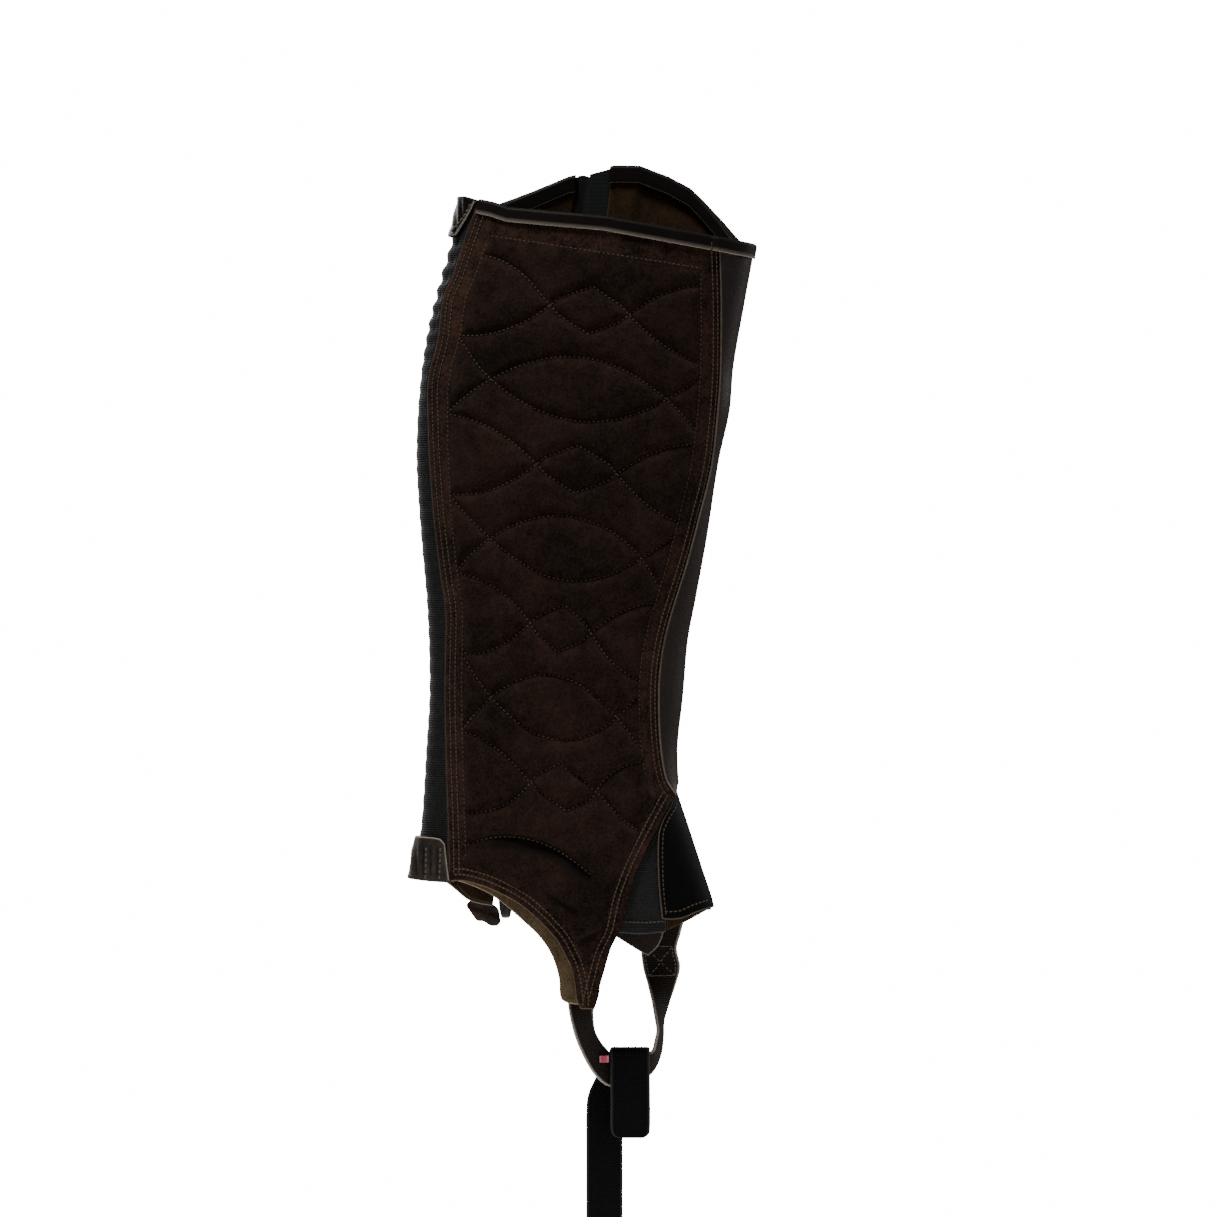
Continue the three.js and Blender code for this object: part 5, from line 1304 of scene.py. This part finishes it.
def woven(name, dark, light, edge, pitch=1.3, wide=1.1, strength=0.6, edge_share=0.7):
    """Woven strap: warp and weft waves that follow the strap's own length and width."""
    made, tree, shader = finish(name, specular_ior_level=0.12, sheen_weight=0.03)
    weft, warp = (
        put(
            tree, "Math", {0: sums(tree, (mark(tree, name), TURN / step))}, operation="SINE"
        ).outputs[0]
        for name, step in (("run", pitch), ("cross", wide))
    )
    yarn = put(tree, "Math", {0: weft, 1: warp}, operation="MULTIPLY").outputs[0]
    place = put(tree, "TexCoord").outputs["Object"]
    fuzz = put(tree, "TexNoise", {"Vector": place, "Scale": 420.0, "Detail": 4.0}).outputs[0]
    height = sums(tree, (yarn, 0.35), (weft, 0.3), (fuzz, 0.5))
    tone = ranged(tree, height, -0.35, 0.85)
    colour = blend(tree, tone, paint(*dark), paint(*light))
    colour = blend(tree, sums(tree, (mark(tree, "edge"), edge_share)), colour, paint(*edge))
    wear(tree, shader, colour, ranged(tree, tone, 0, 1, 0.9, 0.7), height, strength)
    return made


# The pale colour along both edges of the strap is a painted highlight.
strap_elastic = woven("strap_elastic", (19, 15, 13), (54, 46, 40), (196, 186, 172), edge_share=0.9)
STRAP_TOP = np.array([
    (41.6, 387.4, 22.4, 387.4), (43.7, 379.6, 25.5, 379.6), (45.8, 371.8, 26.5, 371.8),
    (46.8, 363, 27.6, 363),
])
strap_a, strap_b = (
    np.vstack([FOOT_STRAP[:, rows] * (1, 1, -1), on_outer(*STRAP_TOP[:, ends].T, -4.1)])
    for rows, ends in (([0, 2, 1], [0, 1]), ([3, 5, 4], [2, 3]))
)
strap_line, strap_normal, strap_wide = ribbon(
    "foot_strap_web", strap_a, strap_b, 1.6, strap_elastic, "foot_strap"
)


def box_stitches(first, last):
    """Box with a cross in it on the strap between two of its rows, on the side that faces the
    inside of the leg."""
    marks = []
    corners = {"a": (first, 0.12), "b": (first, 0.88), "c": (last, 0.88), "d": (last, 0.12)}
    for start, end in ("ab", "bc", "cd", "da", "ac", "bd"):
        (r0, v0), (r1, v1) = corners[start], corners[end]
        t = np.linspace(0.06, 0.94, 8)
        rows, v = r0 + (r1 - r0) * t, v0 + (v1 - v0) * t
        i = rows.astype(int)
        centre = strap_line[i] + strap_wide[i] * (v - 0.5)[:, None]
        along = strap_line[int(r1)] + strap_wide[int(r1)] * (v1 - 0.5)
        along = along - strap_line[int(r0)] - strap_wide[int(r0)] * (v0 - 0.5)
        along = np.broadcast_to(along / np.linalg.norm(along), centre.shape)
        out = -strap_normal[i] * np.sign(strap_normal[i, 1:2])
        marks.append((centre + out * 0.8, along, out))
    centre, along, out = (np.concatenate([m[k] for m in marks]) for k in range(3))
    return tubes("strap_box_stitches", centre, along, out, pale_thread, 0.95, 0.28)


box = box_stitches(318, 356)


# Adjuster strap: webbing folded over the foot strap, a short tab in front and a long tail behind.
ADJUSTER_HALF_WIDTH = 10.3
ADJUSTER = np.array([  # across, down and depth of the middle line, then share of the width
    (16.1, 484.9, -3.7, 0.62), (15.9, 483.1, -3.7, 0.9), (15.8, 478.9, -3.7, 1),
    (15.8, 465.4, -3.7, 1), (15.7, 452.4, -3.6, 1), (15.7, 443.6, -3.6, 1), (15.6, 440.2, -3.2, 1),
    (15.6, 438.8, -1.5, 1), (15.6, 438.7, 0.5, 1), (15.6, 438.8, 2.5, 1), (15.1, 440.2, 4.2, 1),
    (13.5, 443.6, 4.6, 1), (8.8, 452.4, 4.8, 1), (3.6, 462.8, 4.8, 0.95), (2.3, 473.2, 4.8, 0.92),
    (2.3, 491.4, 4.8, 0.92), (2.3, 512.2, 4.8, 0.92), (2.3, 528.8, 4.8, 0.92),
])
webbing = woven(
    "black_webbing", (4, 4, 4), (16, 16, 17), (96, 94, 90), pitch=1.1, wide=1.4, edge_share=0.5
)
middle = ADJUSTER[:, [0, 2, 1]] * (1, 1, -1)
reach = np.c_[ADJUSTER[:, 3] * ADJUSTER_HALF_WIDTH, np.zeros((len(ADJUSTER), 2))]
ribbon(
    "adjuster_web", middle - reach, middle + reach, 1.8, webbing, "adjuster_strap"
)


# Side label: a small plain folded ribbon caught in the strap beside the adjuster.
red_ribbon = woven(
    "label_ribbon", (214, 60, 84), (250, 120, 140), (250, 190, 200), 0.5, 0.6, strength=0.3
)
label_x, label_down = 2.1, 443.8
label_rows = np.array([(label_x, -5.1, -label_down + z) for z in (-1.8, -1, 0, 1, 1.8)])
half_width = np.array([2.45, 0, 0])
ribbon(
    "label_web", label_rows - half_width, label_rows + half_width, 0.66, red_ribbon, "side_label",
    along=16, across=12,
)


# Floor, light and camera: a pale floor, soft light from a wide white surround and four large
# lamps, and a long lens level with the chap.
floor_paint = mottled(
    "floor_paint", (0.86, 0.86, 0.86, 1), (0.9, 0.9, 0.9, 1), 6, (0, 1, 0.85, 0.95), 0.02,
    emission_color=(1, 1, 1, 1), emission_strength=0.3,
)
FLOOR_RADIUS, FLOOR_HEIGHT, FLOOR_POINTS = 0.6, -0.6, 96
floor_mesh = bpy.data.meshes.new("floor")
turn = np.linspace(0, TURN, FLOOR_POINTS, endpoint=False)
disc = np.c_[FLOOR_RADIUS * np.cos(turn), FLOOR_RADIUS * np.sin(turn), FLOOR_HEIGHT + 0 * turn]
floor_mesh.from_pydata(disc.tolist(), [], [list(range(FLOOR_POINTS))])
floor_mesh.materials.append(floor_paint)
floor = bpy.data.objects.new("floor", floor_mesh)
bpy.context.scene.collection.objects.link(floor)

surround = bpy.data.worlds.new("surround")
bpy.context.scene.world = surround
surround.use_nodes = True
sky = surround.node_tree.nodes["Background"]
sky.inputs["Color"].default_value = (1, 1, 1, 1)
seen = put(surround.node_tree, "LightPath").outputs["Is Camera Ray"]
sky_strength = ranged(surround.node_tree, seen, 0, 1, 0.06, 16.0)
surround.node_tree.links.new(sky_strength, sky.inputs["Strength"])


def lamp(name, place, aim, size, power):
    """Round area lamp turned towards a point."""
    light = bpy.data.lights.new(name, "AREA")
    light.shape, light.size, light.energy = "DISK", size, power
    made = bpy.data.objects.new(name, light)
    made.location = place
    made.rotation_euler = (Vector(aim) - Vector(place)).to_track_quat("-Z", "Y").to_euler()
    bpy.context.scene.collection.objects.link(made)


lamp("key_lamp", (-0.4, -0.5, 1.45), (0, 0, -0.25), 0.45, 21)
lamp("fill_lamp", (1.5, -1.3, 0.2), (0, 0, -0.25), 1.0, 2.2)
lamp("back_lamp", (-1.0, 1.6, 0.5), (0, 0, -0.2), 1.4, 34)
lamp("side_lamp", (1.9, 0.9, 0.6), (0, 0, -0.2), 1.2, 16)

camera_data = bpy.data.cameras.new("camera")
camera_data.lens, camera_data.sensor_width = 227.55, 36  # the photograph's frame at 4 m
camera_data.clip_end = 50
camera = bpy.data.objects.new("camera", camera_data)
camera.location = (0.00442, -4.0, -0.2098)
camera.rotation_euler = (np.pi / 2, 0, 0)
bpy.context.scene.collection.objects.link(camera)
bpy.context.scene.camera = camera
